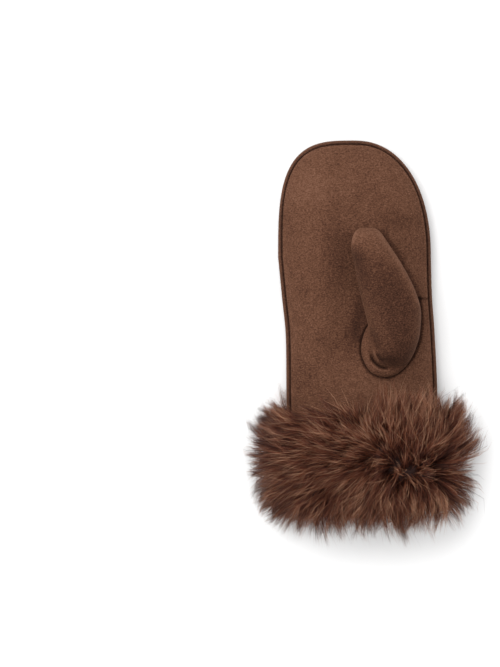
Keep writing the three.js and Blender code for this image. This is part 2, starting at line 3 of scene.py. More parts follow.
import bpy
import numpy as np
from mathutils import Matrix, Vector


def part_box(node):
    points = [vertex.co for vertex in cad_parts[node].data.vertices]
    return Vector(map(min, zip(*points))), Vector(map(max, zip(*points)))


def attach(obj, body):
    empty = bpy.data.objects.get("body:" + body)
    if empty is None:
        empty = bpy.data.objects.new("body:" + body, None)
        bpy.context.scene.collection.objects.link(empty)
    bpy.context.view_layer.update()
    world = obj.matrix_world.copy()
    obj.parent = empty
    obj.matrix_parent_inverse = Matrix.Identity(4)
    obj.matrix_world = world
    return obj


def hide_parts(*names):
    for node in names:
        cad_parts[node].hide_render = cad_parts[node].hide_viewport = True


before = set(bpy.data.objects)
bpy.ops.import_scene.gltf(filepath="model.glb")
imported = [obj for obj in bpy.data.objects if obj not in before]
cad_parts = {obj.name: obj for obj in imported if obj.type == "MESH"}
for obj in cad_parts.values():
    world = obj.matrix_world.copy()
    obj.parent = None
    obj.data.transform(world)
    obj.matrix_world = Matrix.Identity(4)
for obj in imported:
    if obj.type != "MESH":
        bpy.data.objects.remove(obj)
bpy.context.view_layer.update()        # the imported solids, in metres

# The hand and the cuff in real millimetres: hem at y = 0, fingertips up y, thumb on the +x side.
hand = {
    "side": 175, "tipRise": 84, "width": 110, "squareOuter": 3.3, "squareThumb": 2.2,
    "crown": 17, "gusset": 10, "backTurn": 3, "backTurnWidth": 12, "backInset": 4, "palmInset": 2.6,
    "wall": 2.7, "rest": 1.3, "cuffLift": 5.5, "liftFrom": 84, "liftTo": 30,
    "dartUp": 145, "crossUp": 90, "crossDip": 3.5, "crossDipWidth": 18,
}
handRows = [  # up is a share of the side, outer and thumb of the width, crown of the crown
    {"up": 0, "outer": 0.471, "thumb": 0.478, "crown": 0.82},
    {"up": 0.22, "outer": 0.48, "thumb": 0.492, "crown": 0.86},
    {"up": 0.43, "outer": 0.488, "thumb": 0.501, "crown": 0.94},
    {"up": 0.68, "outer": 0.493, "thumb": 0.484, "crown": 1},
    {"up": 0.845, "outer": 0.519, "thumb": 0.466, "crown": 1},
    {"up": 1, "outer": 0.5425, "thumb": 0.459, "crown": 0.97},
]
palmHollows = [  # across and the sizes are shares of the width, up of the whole length, deep of the crown
    {"across": -0.08, "up": 0.5, "wide": 0.12, "long": 0.36, "deep": 0.28, "lean": -8},
    {"across": 0.4, "up": 0.6, "wide": 0.1, "long": 0.22, "deep": 0.14, "lean": 0},
    {"across": -0.1, "up": 0.83, "wide": 0.3, "long": 0.16, "deep": 0.1, "lean": 20},
]
middleSeamRows = [  # across is a share of the width, from the hand's middle
    {"up": 0, "across": -0.078}, {"up": 0.34, "across": -0.083}, {"up": 0.5, "across": -0.09},
    {"up": 0.66, "across": -0.084}, {"up": 0.8, "across": -0.062}, {"up": 0.9, "across": -0.04},
    {"up": 0.96, "across": -0.012}, {"up": 1, "across": 0.01},
]
handLength = hand["side"] + hand["tipRise"]


def mix(a, b, share):
    return a + (b - a) * share


def ease(t):
    t = np.clip(t, 0, 1)
    return t * t * (3 - 2 * t)


def bell(distance, width):
    return np.exp(-(distance / width) ** 2)


def unit(vectors):
    return vectors / np.maximum(np.linalg.norm(vectors, axis=-1, keepdims=True), 1e-9)


# The length of a line up to each of its points
def runOf(line):
    return np.concatenate([[0], np.cumsum(np.linalg.norm(np.diff(line, axis=0), axis=1))])


def leaned(x, y, degrees):
    c, s = math.cos(math.radians(degrees)), math.sin(math.radians(degrees))
    return x * c + y * s, y * c - x * s


# A table's column at any place, on a smooth curve through its rows
def readTable(rows, column, at):
    ups = np.array([row["up"] for row in rows], float)
    values = np.array([row[column] for row in rows], float)
    last = len(rows) - 1
    steps = np.arange(last + 1)
    before, after = np.maximum(steps - 1, 0), np.minimum(steps + 1, last)
    slopes = (values[after] - values[before]) / (ups[after] - ups[before])
    at = np.clip(at, ups[0], ups[-1])
    i = np.clip(np.searchsorted(ups, at) - 1, 0, last - 1)
    span = ups[i + 1] - ups[i]
    t = (at - ups[i]) / span
    bend = span * (t * (1 - t) ** 2 * slopes[i] - t * t * (1 - t) * slopes[i + 1])
    return mix(values[i], values[i + 1], ease(t)) + bend


def outerEdge(y):
    return -hand["width"] * readTable(handRows, "outer", y / hand["side"])


def thumbEdge(y):
    return hand["width"] * readTable(handRows, "thumb", y / hand["side"])


def middle(y):
    return (outerEdge(y) + thumbEdge(y)) / 2


# The origin of the frame is under the middle of the solids, so the solids say where the hem is
shift = np.array([
    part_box("side_gusset")[0][0] * 1000 - float(outerEdge(np.float64(hand["side"]))),
    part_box("palm_panel")[0][1] * 1000,
    0,
])


def toFrame(points):
    return (np.asarray(points) + shift) * 0.001


# Gentle unevenness of cloth: a few waves in chosen directions, between -1 and 1
def softNoise(x, y, wavelength, seed):
    random = np.random.default_rng(seed)
    total = 0
    for _ in range(6):
        angle, phase = random.uniform(0, 2 * math.pi, 2)
        turns = 2 * math.pi / (wavelength * random.uniform(0.7, 1.5))
        total = total + np.sin((x * math.cos(angle) + y * math.sin(angle)) * turns + phase)
    return total / 6


def backHeight(y):
    lift = ease((hand["liftFrom"] - y) / (hand["liftFrom"] - hand["liftTo"]))
    return hand["rest"] + hand["cuffLift"] * lift


def backTurn(inset):
    away = np.clip(1 - (inset - hand["backInset"]) / hand["backTurnWidth"], 0, 1)
    return hand["backTurn"] * away ** 2


def seamHeight(y):
    return backHeight(y) + hand["backTurn"] + hand["gusset"]


def hollowDepth(x, y):
    depth = 0
    for hollow in palmHollows:
        u, v = leaned(
            x - hollow["across"] * hand["width"], y - hollow["up"] * handLength, hollow["lean"])
        shape = bell(u, hollow["wide"] * hand["width"]) * bell(v, hollow["long"] * hand["width"])
        depth = depth + hollow["deep"] * hand["crown"] * shape
    return depth


def palmHeight(x, y, share):
    crown = hand["crown"] * readTable(handRows, "crown", y / hand["side"])
    rise = (1 - (1 - share) ** 2.4) ** 0.62
    return seamHeight(y) + crown * rise - hollowDepth(x, y) * np.minimum(1, share * 3)


# How far a point lies in from the outline, and how far the middle line is from the outline there
def placeOf(x, y):
    low = np.minimum(y, hand["side"])
    centre = middle(low)
    edge = np.where(x < centre, outerEdge(low), thumbEdge(low))
    across = np.abs(x - centre) / np.abs(edge - centre)
    square = np.where(x < centre, hand["squareOuter"], hand["squareThumb"])
    up = np.maximum(y - hand["side"], 0) / hand["tipRise"]
    share = np.maximum((across ** square + up ** square) ** (1 / square), 1e-6)
    tip = np.hypot(x - centre, y - hand["side"]) / share
    reach = np.where(y <= hand["side"], np.abs(edge - centre), tip)
    return (1 - share) * reach, reach


def palmZ(x, y):
    inset, reach = placeOf(x, y)
    share = np.clip((inset - hand["palmInset"]) / (reach - hand["palmInset"]), 0, 1)
    return palmHeight(x, y, share)


def backZ(x, y):
    inset, _ = placeOf(x, y)
    return backHeight(y) + backTurn(np.maximum(inset, hand["backInset"]))


def middleSeam(y):
    share = np.clip(y, 0, handLength) / handLength
    low = np.minimum(y, hand["side"])
    return middle(low) + hand["width"] * readTable(middleSeamRows, "across", share)


crossMiddle = float(middleSeam(np.float64(hand["crossUp"])))


def crossSeam(x):
    return hand["crossUp"] - hand["crossDip"] * bell(x - crossMiddle, hand["crossDipWidth"])


# Evenly spaced places round the outline, from the outer end of the hem over the tip to the thumb's
# end, each with the point of the middle line that its section runs in to
def outlinePlaces(count):
    y = np.linspace(0, hand["side"], 300)
    outer = np.stack([outerEdge(y), y, middle(y), y], 1)
    thumb = np.stack([thumbEdge(y), y, middle(y), y], 1)[::-1]
    angle = np.linspace(math.pi, 0, 6000)[1:-1]
    c, s = np.cos(angle), np.sin(angle)
    power = 2 / np.where(c < 0, hand["squareOuter"], hand["squareThumb"])
    centre, half = outer[-1, 2], (thumb[0, 0] - outer[-1, 0]) / 2
    x = centre + half * np.sign(c) * np.abs(c) ** power
    tip = np.stack([x, y[-1] + hand["tipRise"] * s ** power], 1)
    tip = np.hstack([tip, np.tile([centre, y[-1]], (len(tip), 1))])
    line = np.vstack([outer, tip, thumb])
    run = runOf(line[:, :2])
    even = np.linspace(0, run[-1], count)
    return np.stack([np.interp(even, run, column) for column in line.T], 1)


def reachOf(places):
    return np.hypot(places[:, 2] - places[:, 0], places[:, 3] - places[:, 1])[:, None]


# Points at distances in from the outline: rows of places, columns of insets
def inFrom(places, insets):
    reach = reachOf(places)
    x = places[:, 0:1] + (places[:, 2:3] - places[:, 0:1]) * insets / reach
    y = places[:, 1:2] + (places[:, 3:4] - places[:, 1:2]) * insets / reach
    return x, y


def normalsOf(points):
    along, across = np.gradient(points, axis=0), np.gradient(points, axis=1)
    return unit(np.cross(along, across))


# Modelling steps

def startPiece(name):
    piece = bpy.context.object
    piece.name = piece.data.name = name
    return piece


def only(piece):
    bpy.ops.object.select_all(action="DESELECT")
    piece.select_set(True)
    bpy.context.view_layer.objects.active = piece


def inEditMode(piece, *steps):
    only(piece)
    bpy.ops.object.mode_set(mode="EDIT")
    bpy.ops.mesh.select_all(action="SELECT")
    for step in steps:
        step()
    bpy.ops.object.mode_set(mode="OBJECT")


def faceOut(piece):
    inEditMode(piece, lambda: bpy.ops.mesh.normals_make_consistent(inside=False))


def applyModifier(piece, kind, **settings):
    only(piece)
    modifier = piece.modifiers.new(kind.title(), kind)
    for name, value in settings.items():
        setattr(modifier, name, value)
    bpy.ops.object.modifier_apply(modifier=modifier.name)


def coordinates(piece):
    flat = np.empty(len(piece.data.vertices) * 3)
    piece.data.vertices.foreach_get("co", flat)
    return flat.reshape(-1, 3)


def setValues(mesh, name, values):
    mesh.attributes.new(name, "FLOAT", "POINT").data.foreach_set("value", values)


def moveTo(piece, points):
    piece.data.vertices.foreach_set("co", np.ascontiguousarray(points, float).ravel())
    piece.data.update()


# A flat grid laid over rows of points, in hand millimetres, facing away from the heart
def drapeGrid(name, points, heart):
    rows, columns = points.shape[:2]
    bpy.ops.object.select_all(action="DESELECT")
    bpy.ops.mesh.primitive_grid_add(x_subdivisions=columns - 1, y_subdivisions=rows - 1, size=1)
    piece = startPiece(name)
    moveTo(piece, toFrame(points))
    inEditMode(piece, lambda: bpy.ops.mesh.remove_doubles(threshold=2e-5))
    data, away = piece.data, 0
    for face in list(data.polygons)[::97]:
        away += face.normal.dot(face.center - Vector(toFrame(heart))) * face.area
    if away < 0:
        inEditMode(piece, bpy.ops.mesh.flip_normals)
    return piece


def thicken(piece, thickness, rim=0.5):
    applyModifier(piece, "SOLIDIFY", thickness=thickness * 0.001, offset=-1, use_rim=True)
    applyModifier(
        piece, "BEVEL", width=rim * 0.001, segments=2, limit_method="ANGLE",
        angle_limit=math.radians(55), use_clamp_overlap=True, harden_normals=False,
    )
    smooth(piece)


def smooth(piece):
    only(piece)
    bpy.ops.object.shade_smooth()


# Cuts the faces near some lines finer, so that the mesh can carry a narrow seam or crease there
def cutFiner(piece, lines, reach, cuts):
    centres = np.empty(len(piece.data.polygons) * 3)
    piece.data.polygons.foreach_get("center", centres)
    x, y, _ = (centres.reshape(-1, 3) * 1000 - shift).T
    away = np.min([nearLine(x, y, line)[0] for line in lines], axis=0)
    only(piece)
    bpy.ops.object.mode_set(mode="EDIT")
    bpy.ops.mesh.select_mode(type="FACE")
    bpy.ops.mesh.select_all(action="DESELECT")
    bpy.ops.object.mode_set(mode="OBJECT")
    piece.data.polygons.foreach_set("select", away < reach)
    bpy.ops.object.mode_set(mode="EDIT")
    bpy.ops.mesh.subdivide(number_cuts=cuts)
    bpy.ops.mesh.select_mode(type="VERT")
    bpy.ops.object.mode_set(mode="OBJECT")


def finishPiece(piece, material, nodes):
    piece.data.materials.clear()
    piece.data.materials.append(material)
    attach(piece, "root")
    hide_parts(*nodes)


# Materials

def socketColour(code):
    channels = [int(code[i:i + 2], 16) / 255 for i in (1, 3, 5)]
    return (*[c / 12.92 if c <= 0.04045 else ((c + 0.055) / 1.055) ** 2.4 for c in channels], 1)


def addNode(material, kind, settings=None, values=None, links=None):
    node = material.node_tree.nodes.new(kind)
    for name, value in (settings or {}).items():
        setattr(node, name, value)
    for name, value in (values or {}).items():
        node.inputs[name].default_value = value
    for name, source in (links or {}).items():
        material.node_tree.links.new(source, node.inputs[name])
    return node


def addRamp(material, source, stops):
    node = addNode(material, "ShaderNodeValToRGB", links={"Fac": source})
    ramp = node.color_ramp
    while len(ramp.elements) < len(stops):
        ramp.elements.new(0.5)
    for element, (position, code) in zip(ramp.elements, stops):
        element.position = position
        element.color = socketColour(code)
    return node.outputs["Color"]


def newMaterial(name):
    material = bpy.data.materials.new(name)
    material.use_nodes = True
    material.node_tree.nodes.clear()
    return material


def readAttribute(material, name):
    return addNode(material, "ShaderNodeAttribute", {"attribute_name": name}).outputs["Fac"]


def placeOn(material):
    return addNode(material, "ShaderNodeTexCoord").outputs["Object"]


def addMapping(material, place, values):
    node = addNode(material, "ShaderNodeMapping", values=values, links={"Vector": place})
    return node.outputs["Vector"]


def addNoise(material, place, sizeMm, detail, rough=0.5):
    values = {"Scale": 1000 / sizeMm, "Detail": detail, "Roughness": rough}
    node = addNode(material, "ShaderNodeTexNoise", values=values, links={"Vector": place})
    return node.outputs["Fac"]


# A source times a weight, added to a total
def addWeighted(material, source, weight, total):
    node = addNode(
        material, "ShaderNodeMath", {"operation": "MULTIPLY_ADD"}, {1: weight},
        {0: source, 2: total})
    return node.outputs["Value"]


def addRange(material, source, values):
    node = addNode(material, "ShaderNodeMapRange", values=values, links={"Value": source})
    return node.outputs["Result"]


def addBump(material, height, strength, depthMm, normal=None):
    links = {"Height": height, **({"Normal": normal} if normal else {})}
    values = {"Strength": strength, "Distance": depthMm * 0.001}
    return addNode(material, "ShaderNodeBump", values=values, links=links).outputs["Normal"]


def closeMaterial(material, values, links):
    shader = addNode(material, "ShaderNodeBsdfPrincipled", values=values, links=links)
    addNode(material, "ShaderNodeOutputMaterial", links={"Surface": shader.outputs["BSDF"]})


suede = {
    "deep": "#24130c", "dark": "#40271c", "body": "#5b3c2c", "light": "#704f3f",
    "grainMm": 1.0, "napMm": 0.5, "cloudMm": 26, "grainDepthMm": 0.14, "napDepthMm": 0.07,
}


# Faux suede, brushed polyester: a matt nap whose short fibres lie in small drifts, so it shows
# fine light and dark grain, cloudy patches where it has been stroked and a soft sheen at the edges
def brushedSuede(name, look, seed):
    material = newMaterial(name)
    place = addMapping(material, placeOn(material), {"Location": (seed * 0.37, seed * 0.11, 0)})
    across = addMapping(material, place, {"Scale": (0.75, 1.2, 1)})
    along = addMapping(material, place, {"Scale": (1.3, 0.75, 1)})
    grain = addNoise(material, across, look["grainMm"], 3, 0.7)
    drift = addNoise(material, along, look["grainMm"] * 5, 3, 0.6)
    cloud = addNoise(material, place, look["cloudMm"], 3)
    nap = addNoise(material, place, look["napMm"], 2)
    # The tone attribute brings each piece's painted shade and painted light; the noises add the cloth's
    # own grain, nap and patches
    tone = readAttribute(material, "tone")
    for source, weight in ((grain, 2.4), (nap, 1.3), (drift, 0.35), (cloud, 0.45)):
        tone = addWeighted(material, source, weight, tone)
    share = addRange(material, tone, {"From Min": 1.34, "From Max": 2.94})
    colour = addRamp(material, share, [
        (0, look["deep"]), (0.35, look["dark"]), (0.62, look["body"]), (0.95, look["light"])])
    bump = addBump(material, grain, 0.5, look["grainDepthMm"])
    bump = addBump(material, nap, 0.5, look["napDepthMm"], bump)
    rough = addRange(material, grain, {"To Min": 0.84, "To Max": 0.98})
    values = {
        "Metallic": 0, "IOR": 1.45, "Specular IOR Level": 0.12, "Sheen Weight": 0.22,
        "Sheen Roughness": 0.45, "Sheen Tint": socketColour("#a87a5c"),
    }
    closeMaterial(material, values, {"Base Color": colour, "Roughness": rough, "Normal": bump})
    return material


suedeMaterial = brushedSuede("brushed_suede_cloth", suede, 1)


# Painted shade and painted light, kept per piece in its tone attribute: below 0 is darker, above 0
# lighter
def toneBy(piece, toneOf):
    x, y, z = (coordinates(piece) * 1000 - shift).T
    setValues(piece.data, "tone", toneOf(x, y, z))


def patch(x, y, spot):
    u, v = leaned(x - spot["x"], y - spot["y"], spot["lean"])
    return spot["tone"] * bell(u, spot["wide"]) * bell(v, spot["long"])


# Palm

palm = {
    "places": 240, "columns": 40, "rimHeight": 0.35, "rimFrom": 1.1, "rimWidth": 0.8,
    "grooveDepth": 0.3, "grooveFrom": 2.7, "waveHeight": 0.45, "waveLength": 34,
    "puckerHeight": 0.28, "puckerLength": 5.5, "dartDepth": 1.1, "dartWidth": 0.8,
    "seamGap": 0.6, "turnIn": 0.8, "turnWidth": 0.65, "footGroove": 1.2, "footWidth": 1,
}
thumbFoot = [  # the line round the thumb's foot, where its cloth is sewn into the palm
    (4.9, 124.9), (1.7, 118.4), (0.3, 112.6), (0.6, 104.9), (2.7, 98.1), (7.1, 92.4), (12.8, 89.3),
    (18.7, 88.8), (24.5, 90.9), (30.7, 95.8), (36.5, 103), (40.6, 111.6), (42.7, 121.3),
    (43.3, 130.5), (42.6, 138.7), (41.4, 144.9),
]
thumbSide = [  # the free edge of the thumb on the gusset's side, from its foot to its tip
    (41.4, 145), (39, 151), (35.5, 158.4), (31.5, 165.6), (28, 173), (24, 180), (19, 186), (15, 193),
]
dartLine = [(36, 145.5), (42, 145.1), (48, 144.8)]
# Patches of painted shade and painted light on the palm, darkest in the hollow beside the thumb
palmLightAndShadeSpots = [
    {"x": -1, "y": 132, "wide": 6.5, "long": 25, "lean": -14, "tone": -0.62},
    {"x": -17, "y": 178, "wide": 13, "long": 32, "lean": -6, "tone": -0.3},
    {"x": -23, "y": 112, "wide": 12, "long": 16, "lean": 0, "tone": -0.18},
    {"x": -43, "y": 87, "wide": 10, "long": 12, "lean": 0, "tone": -0.2},
    {"x": -43, "y": 160, "wide": 9, "long": 16, "lean": 0, "tone": -0.16},
    {"x": -36, "y": 225, "wide": 16, "long": 13, "lean": 30, "tone": 0.26},
    {"x": -13, "y": 230, "wide": 11, "long": 9, "lean": 0, "tone": 0.16},
    {"x": 24, "y": 201, "wide": 17, "long": 8, "lean": 0, "tone": -0.26},
    {"x": 30, "y": 80, "wide": 26, "long": 8, "lean": 0, "tone": 0.16},
    {"x": -35, "y": 150, "wide": 20, "long": 70, "lean": 0, "tone": 0.06},
]


# A smooth line through points, as count points
def smoothLine(points, count):
    points = np.asarray(points, float)
    rows = [dict(up=i, **{str(k): v for k, v in enumerate(p)}) for i, p in enumerate(points)]
    at = np.linspace(0, len(points) - 1, count)
    return np.stack([readTable(rows, str(k), at) for k in range(points.shape[1])], 1)


# How far each point is from a line in plan, and how far along the line, 0 to 1
def nearLine(x, y, line, count=60):
    dense = smoothLine(line, count)
    flatX, flatY = np.ravel(x), np.ravel(y)
    away = np.hypot(flatX[:, None] - dense[:, 0], flatY[:, None] - dense[:, 1])
    nearest = away.argmin(1)
    away = away[np.arange(len(flatX)), nearest]
    return away.reshape(np.shape(x)), (nearest / (count - 1)).reshape(np.shape(x))


# Small forms of the palm, in millimetres square to its surface
def palmRelief(x, y, inset):
    fromSeam = inset - hand["palmInset"]
    rim = palm["rimHeight"] * bell(fromSeam - palm["rimFrom"], palm["rimWidth"])
    groove = palm["grooveDepth"] * bell(fromSeam - palm["grooveFrom"], palm["rimWidth"])
    inner = ease((fromSeam - 3) / 14)
    waves = palm["waveHeight"] * inner * softNoise(x, y, palm["waveLength"], 3)
    waves = waves + 0.16 * inner * softNoise(x, y, palm["waveLength"] / 3, 8)
    nearDart = bell(y - hand["dartUp"] - 14, 20) * bell(fromSeam - 6, 7) * (x > 0)
    pucker = palm["puckerHeight"] * nearDart * np.sin(y * 2 * math.pi / palm["puckerLength"] + x * 0.25)
    turn = palm["turnIn"] * bell(fromSeam, palm["turnWidth"])
    return rim - groove + waves + pucker - turn


# The grooves of the seam round the thumb's foot and of the short seam from it to the side
def palmGrooves(x, y):
    foot, _ = nearLine(x, y, thumbFoot, 200)
    dart, _ = nearLine(x, y, dartLine)
    foot = palm["footGroove"] * bell(foot - 0.5, palm["footWidth"])
    return foot + palm["dartDepth"] * bell(dart, palm["dartWidth"])


# Painted shade on the palm: in its patches, at the seam round its edge, in the crevice along the thumb's
# foot and in the dart, and as a shadow beside the thumb's free side; a thin painted highlight just in
# from the edge
def palmLightAndShade(x, y, z):
    inset, _ = placeOf(x, y)
    foot, _ = nearLine(x, y, thumbFoot, 200)
    dart, _ = nearLine(x, y, dartLine)
    side, _ = nearLine(x, y, thumbSide)
    tone = sum(patch(x, y, spot) for spot in palmLightAndShadeSpots)
    tone = tone - 0.55 * bell(inset - hand["palmInset"], 0.8) + 0.12 * bell(inset - 4.1, 0.8)
    tone = tone - 0.8 * bell(foot, 1.2) - 0.1 * bell(foot, 4)
    return tone - 0.4 * bell(dart, 0.9) - 0.5 * bell(side, 2.4)


def palmPoints():
    places = outlinePlaces(palm["places"])
    reach = reachOf(places)
    shares = np.linspace(0, 1, palm["columns"])[None, :] ** 1.7
    inset = hand["palmInset"] + (reach - hand["palmInset"]) * shares
    x, y = inFrom(places, inset)
    points = np.stack([x, y, palmHeight(x, y, np.broadcast_to(shares, x.shape))], 2)
    normals = normalsOf(points)
    normals *= np.sign(normals[..., 2:] + 1e-9)
    normals[:, -3:] = [0, 0, 1]
    points = points + normals * palmRelief(x, y, inset)[..., None]
    points[:, 0] += palm["seamGap"] / 2 * unit(points[:, 1] - points[:, 0])
    return points


def makePalm():
    piece = drapeGrid("palm", palmPoints(), [0, 130, 10])
    cutFiner(piece, [thumbFoot, dartLine], 3, 4)
    points = coordinates(piece) * 1000 - shift
    points[:, 2] -= palmGrooves(points[:, 0], points[:, 1])
    moveTo(piece, toFrame(points))
    thicken(piece, hand["wall"])
    toneBy(piece, palmLightAndShade)
    finishPiece(piece, suedeMaterial, ["palm_panel"])
    print("palm done")


# Side gusset

gusset = {"places": 260, "columns": 11, "seamGap": 0.6}


# A little darker overall, with painted shade along both of the gusset's seams
def gussetSeamShade(x, y, z):
    t = (z - backHeight(y) - hand["backTurn"]) / hand["gusset"]
    return -0.12 - 0.7 * bell(t - 1, 0.1) - 0.7 * bell(t, 0.1)


def makeGusset():
    places = outlinePlaces(gusset["places"])
    t = np.linspace(0, 1, gusset["columns"])[None, :]
    inset = mix(hand["backInset"], hand["palmInset"], t) * (1 - 2 * t) ** 2
    x, y = inFrom(places, np.broadcast_to(inset, (len(places), t.shape[1])))
    z = backHeight(y) + hand["backTurn"] + hand["gusset"] * t
    points = np.stack([x, y, z], 2)
    for end, other in ((0, 1), (-1, -2)):
        points[:, end] += gusset["seamGap"] / 2 * unit(points[:, other] - points[:, end])
    piece = drapeGrid("gusset", points, [0, 130, 10])
    thicken(piece, hand["wall"] * 0.8)
    toneBy(piece, gussetSeamShade)
    finishPiece(piece, suedeMaterial, ["side_gusset"])
    print("gusset done")


# Back and cuff panels: rows that run from the outline to the raised middle seam

back = {
    "rows": 90, "columns": 26, "gap": 0.25, "channel": 1.5, "cuffRows": 40, "cuffChannel": 0.2,
    "tipWidth": 1,
}


def backGrid(side, cuff):
    places = outlinePlaces(2400)
    top = np.array([middleSeam(np.float64(handLength)), handLength])
    tipAt = int(np.argmin(np.hypot(places[:, 0] - top[0], places[:, 1] - top[1])))
    half = places[:tipAt + 1] if side < 0 else places[tipAt:][::-1]
    crossAt = int(np.argmin(np.abs(half[:len(half) // 2, 1] - hand["crossUp"])))
    rows = back["cuffRows"] if cuff else back["rows"]
    part = half[:crossAt + 1] if cuff else half[crossAt:]
    edge = part[np.linspace(0, len(part) - 1, rows).astype(int)]
    inner = np.hstack(inFrom(edge, hand["backInset"] + back["gap"]))
    tip = handLength - hand["backInset"] - back["gap"]
    low, high = (0, hand["crossUp"]) if cuff else (hand["crossUp"], tip)
    seamY = mix(low, high, np.linspace(0, 1, rows))
    channel = back["cuffChannel"] if cuff else back["channel"]
    seam = np.stack([middleSeam(seamY) + side * channel, seamY], 1)
    inner[:, 0] = side * np.maximum(side * inner[:, 0], side * seam[:, 0] + back["tipWidth"])
    t = np.linspace(0, 1, back["columns"])[None, :, None] ** 1.3
    plan = mix(inner[:, None, :], seam[:, None, :], t)
    x, y = plan[..., 0], plan[..., 1]
    clear = back["channel"] * (-1 if cuff else 1)
    down = (np.linspace(0, 1, rows) if cuff else np.linspace(1, 0, rows))[:, None] ** 6
    y = y + down * (crossSeam(x) + clear - hand["crossUp"])
    z = backZ(x, y) + 0.12 * softNoise(x, y, 26, 5) ** 2
    return np.stack([x, y, z], 2)


# Painted shade along the back's edge seam and beside the raised seams, a little lighter elsewhere
def backSeamShade(x, y, z):
    inset, _ = placeOf(x, y)
    nearSeam = bell(x - middleSeam(y), 2.2) + bell(y - crossSeam(x), 2.2)
    return 0.05 - 0.6 * bell(inset - hand["backInset"], 1) - 0.35 * np.minimum(nearSeam, 1)


def makeBack():
    for side, word in ((-1, "outer"), (1, "inner")):
        for cuff in (False, True):
            node = ("cuff_panel_" if cuff else "back_panel_") + word
            name = ("cuffBack" if cuff else "back") + word.title()
            points = backGrid(side, cuff)
            piece = drapeGrid(name, points, [0, 130, 12])
            thicken(piece, hand["wall"])
            toneBy(piece, backSeamShade)
            finishPiece(piece, suedeMaterial, [node])
    print("back done")


makePalm()
makeGusset()
makeBack()


# Raised seams of the back, and the metallic thread that is whipped over them

rib = {
    "halfWidth": 1.6, "halfHeight": 1.05, "sides": 14, "end": 4.6, "tipEnd": 3.8, "crossSteps": 110,
    "middleSteps": 190,
}
stitch = {"spacingMm": 2.5, "radius": 0.36, "slantMm": 1.3, "reach": 1.15, "sides": 6, "steps": 7}


def ribPath(cross):
    if cross:
        x = np.linspace(outerEdge(np.float64(hand["crossUp"])) + rib["end"],
                        thumbEdge(np.float64(hand["crossUp"])) - rib["end"], rib["crossSteps"])
        y = crossSeam(x)
    else:
        y = np.linspace(float(crossSeam(crossMiddle)) + 2, handLength - rib["tipEnd"],
                        rib["middleSteps"])
        x = middleSeam(y)
    return np.stack([x, y, backZ(x, y) - 0.1], 1)


# Across and up vectors along a path that lies almost flat
def pathFrame(path):
    run = unit(np.gradient(path, axis=0))
    across = unit(np.cross(run, [0, 0, 1]))
    return run, across, np.cross(across, run)


def closedTube(name, rings):
    ends = rings[[0, -1]].mean(axis=1, keepdims=True)
    rows = np.concatenate([np.repeat(ends[:1], rings.shape[1], 1), rings,
                           np.repeat(ends[1:], rings.shape[1], 1)])
    points = np.concatenate([rows, rows[:, :1]], axis=1)
    piece = drapeGrid(name, points, [0, 130, 10])
    faceOut(piece)
    return piece


def makeRib(name, cross):
    path = ribPath(cross)
    run, across, up = pathFrame(path)
    angle = np.linspace(0, 2 * math.pi, rib["sides"], endpoint=False)[None, :, None]
    length = runOf(path)
    taper = np.sqrt(np.clip(np.minimum(length, length[-1] - length) / 1.2, 0.15, 1))[:, None, None]
    pinch = 1 - 0.05 * np.cos(length * 2 * math.pi / stitch["spacingMm"])[:, None, None]
    rings = path[:, None] + taper * pinch * (
        rib["halfWidth"] * np.cos(angle) * across[:, None]
        + rib["halfHeight"] * np.sin(angle) * up[:, None])
    piece = closedTube(name, rings)
    smooth(piece)
    finishPiece(piece, ribMaterial, ["cross_seam" if cross else "centre_seam"])
    return path


# Small closed tubes over the rib's lower side, from one flank to the other
def makeStitches(paths):
    steps = np.linspace(-1, 1, stitch["steps"])
    angle = np.linspace(0, 2 * math.pi, stitch["sides"], endpoint=False)
    points, faces, base = [], [], 0
    random = np.random.default_rng(21)
    for path in paths:
        run, across, up = pathFrame(path)
        length = runOf(path)
        for at in np.arange(2, length[-1] - 2, stitch["spacingMm"]):
            at += random.uniform(-0.15, 0.15)
            here = [np.array([np.interp(at, length, v[:, k]) for k in range(3)])
                    for v in (path, run, across, up)]
            place, along, side, rise = here
            turn = steps * stitch["reach"] - 1.571
            line = (place + (rib["halfWidth"] * np.cos(turn))[:, None] * side
                    + (rib["halfHeight"] * np.sin(turn))[:, None] * rise
                    + (steps * stitch["slantMm"])[:, None] * along)
            away = np.cos(turn)[:, None] * side + np.sin(turn)[:, None] * rise
            flat = np.cross(unit(np.gradient(line, axis=0)), away)
            thick = stitch["radius"] * np.sqrt(np.clip(1.15 - steps ** 2, 0.2, 1))[:, None, None]
            ring = line[:, None] + thick * (
                0.55 * np.cos(angle)[None, :, None] * away[:, None]
                + np.sin(angle)[None, :, None] * flat[:, None])
            points.append(ring.reshape(-1, 3))
            count = len(angle)
            for i in range(len(steps) - 1):
                for j in range(count):
                    a, b = base + i * count + j, base + i * count + (j + 1) % count
                    faces.append((a, b, b + count, a + count))
            faces.append(tuple(base + j for j in reversed(range(count))))
            faces.append(tuple(base + (len(steps) - 1) * count + j for j in range(count)))
            base += len(steps) * count
    points = np.concatenate(points)
    points[:, 2] = np.maximum(points[:, 2], 0.02)
    mesh = bpy.data.meshes.new("metallicStitches")
    mesh.from_pydata(toFrame(points).tolist(), [], faces)
    piece = bpy.data.objects.new("metallicStitches", mesh)
    bpy.context.collection.objects.link(piece)
    faceOut(piece)
    smooth(piece)
    finishPiece(piece, threadMaterial, [])


# The raised seams are the same brushed cloth folded tight, with its nap crushed, in a darker copy whose
# colours are painted shade of the tight fold
ribMaterial = brushedSuede(
    "shaded_folded_suede_seam", {**suede, "dark": "#2c1810", "body": "#442a1f", "light": "#5a3b2d"}, 4)


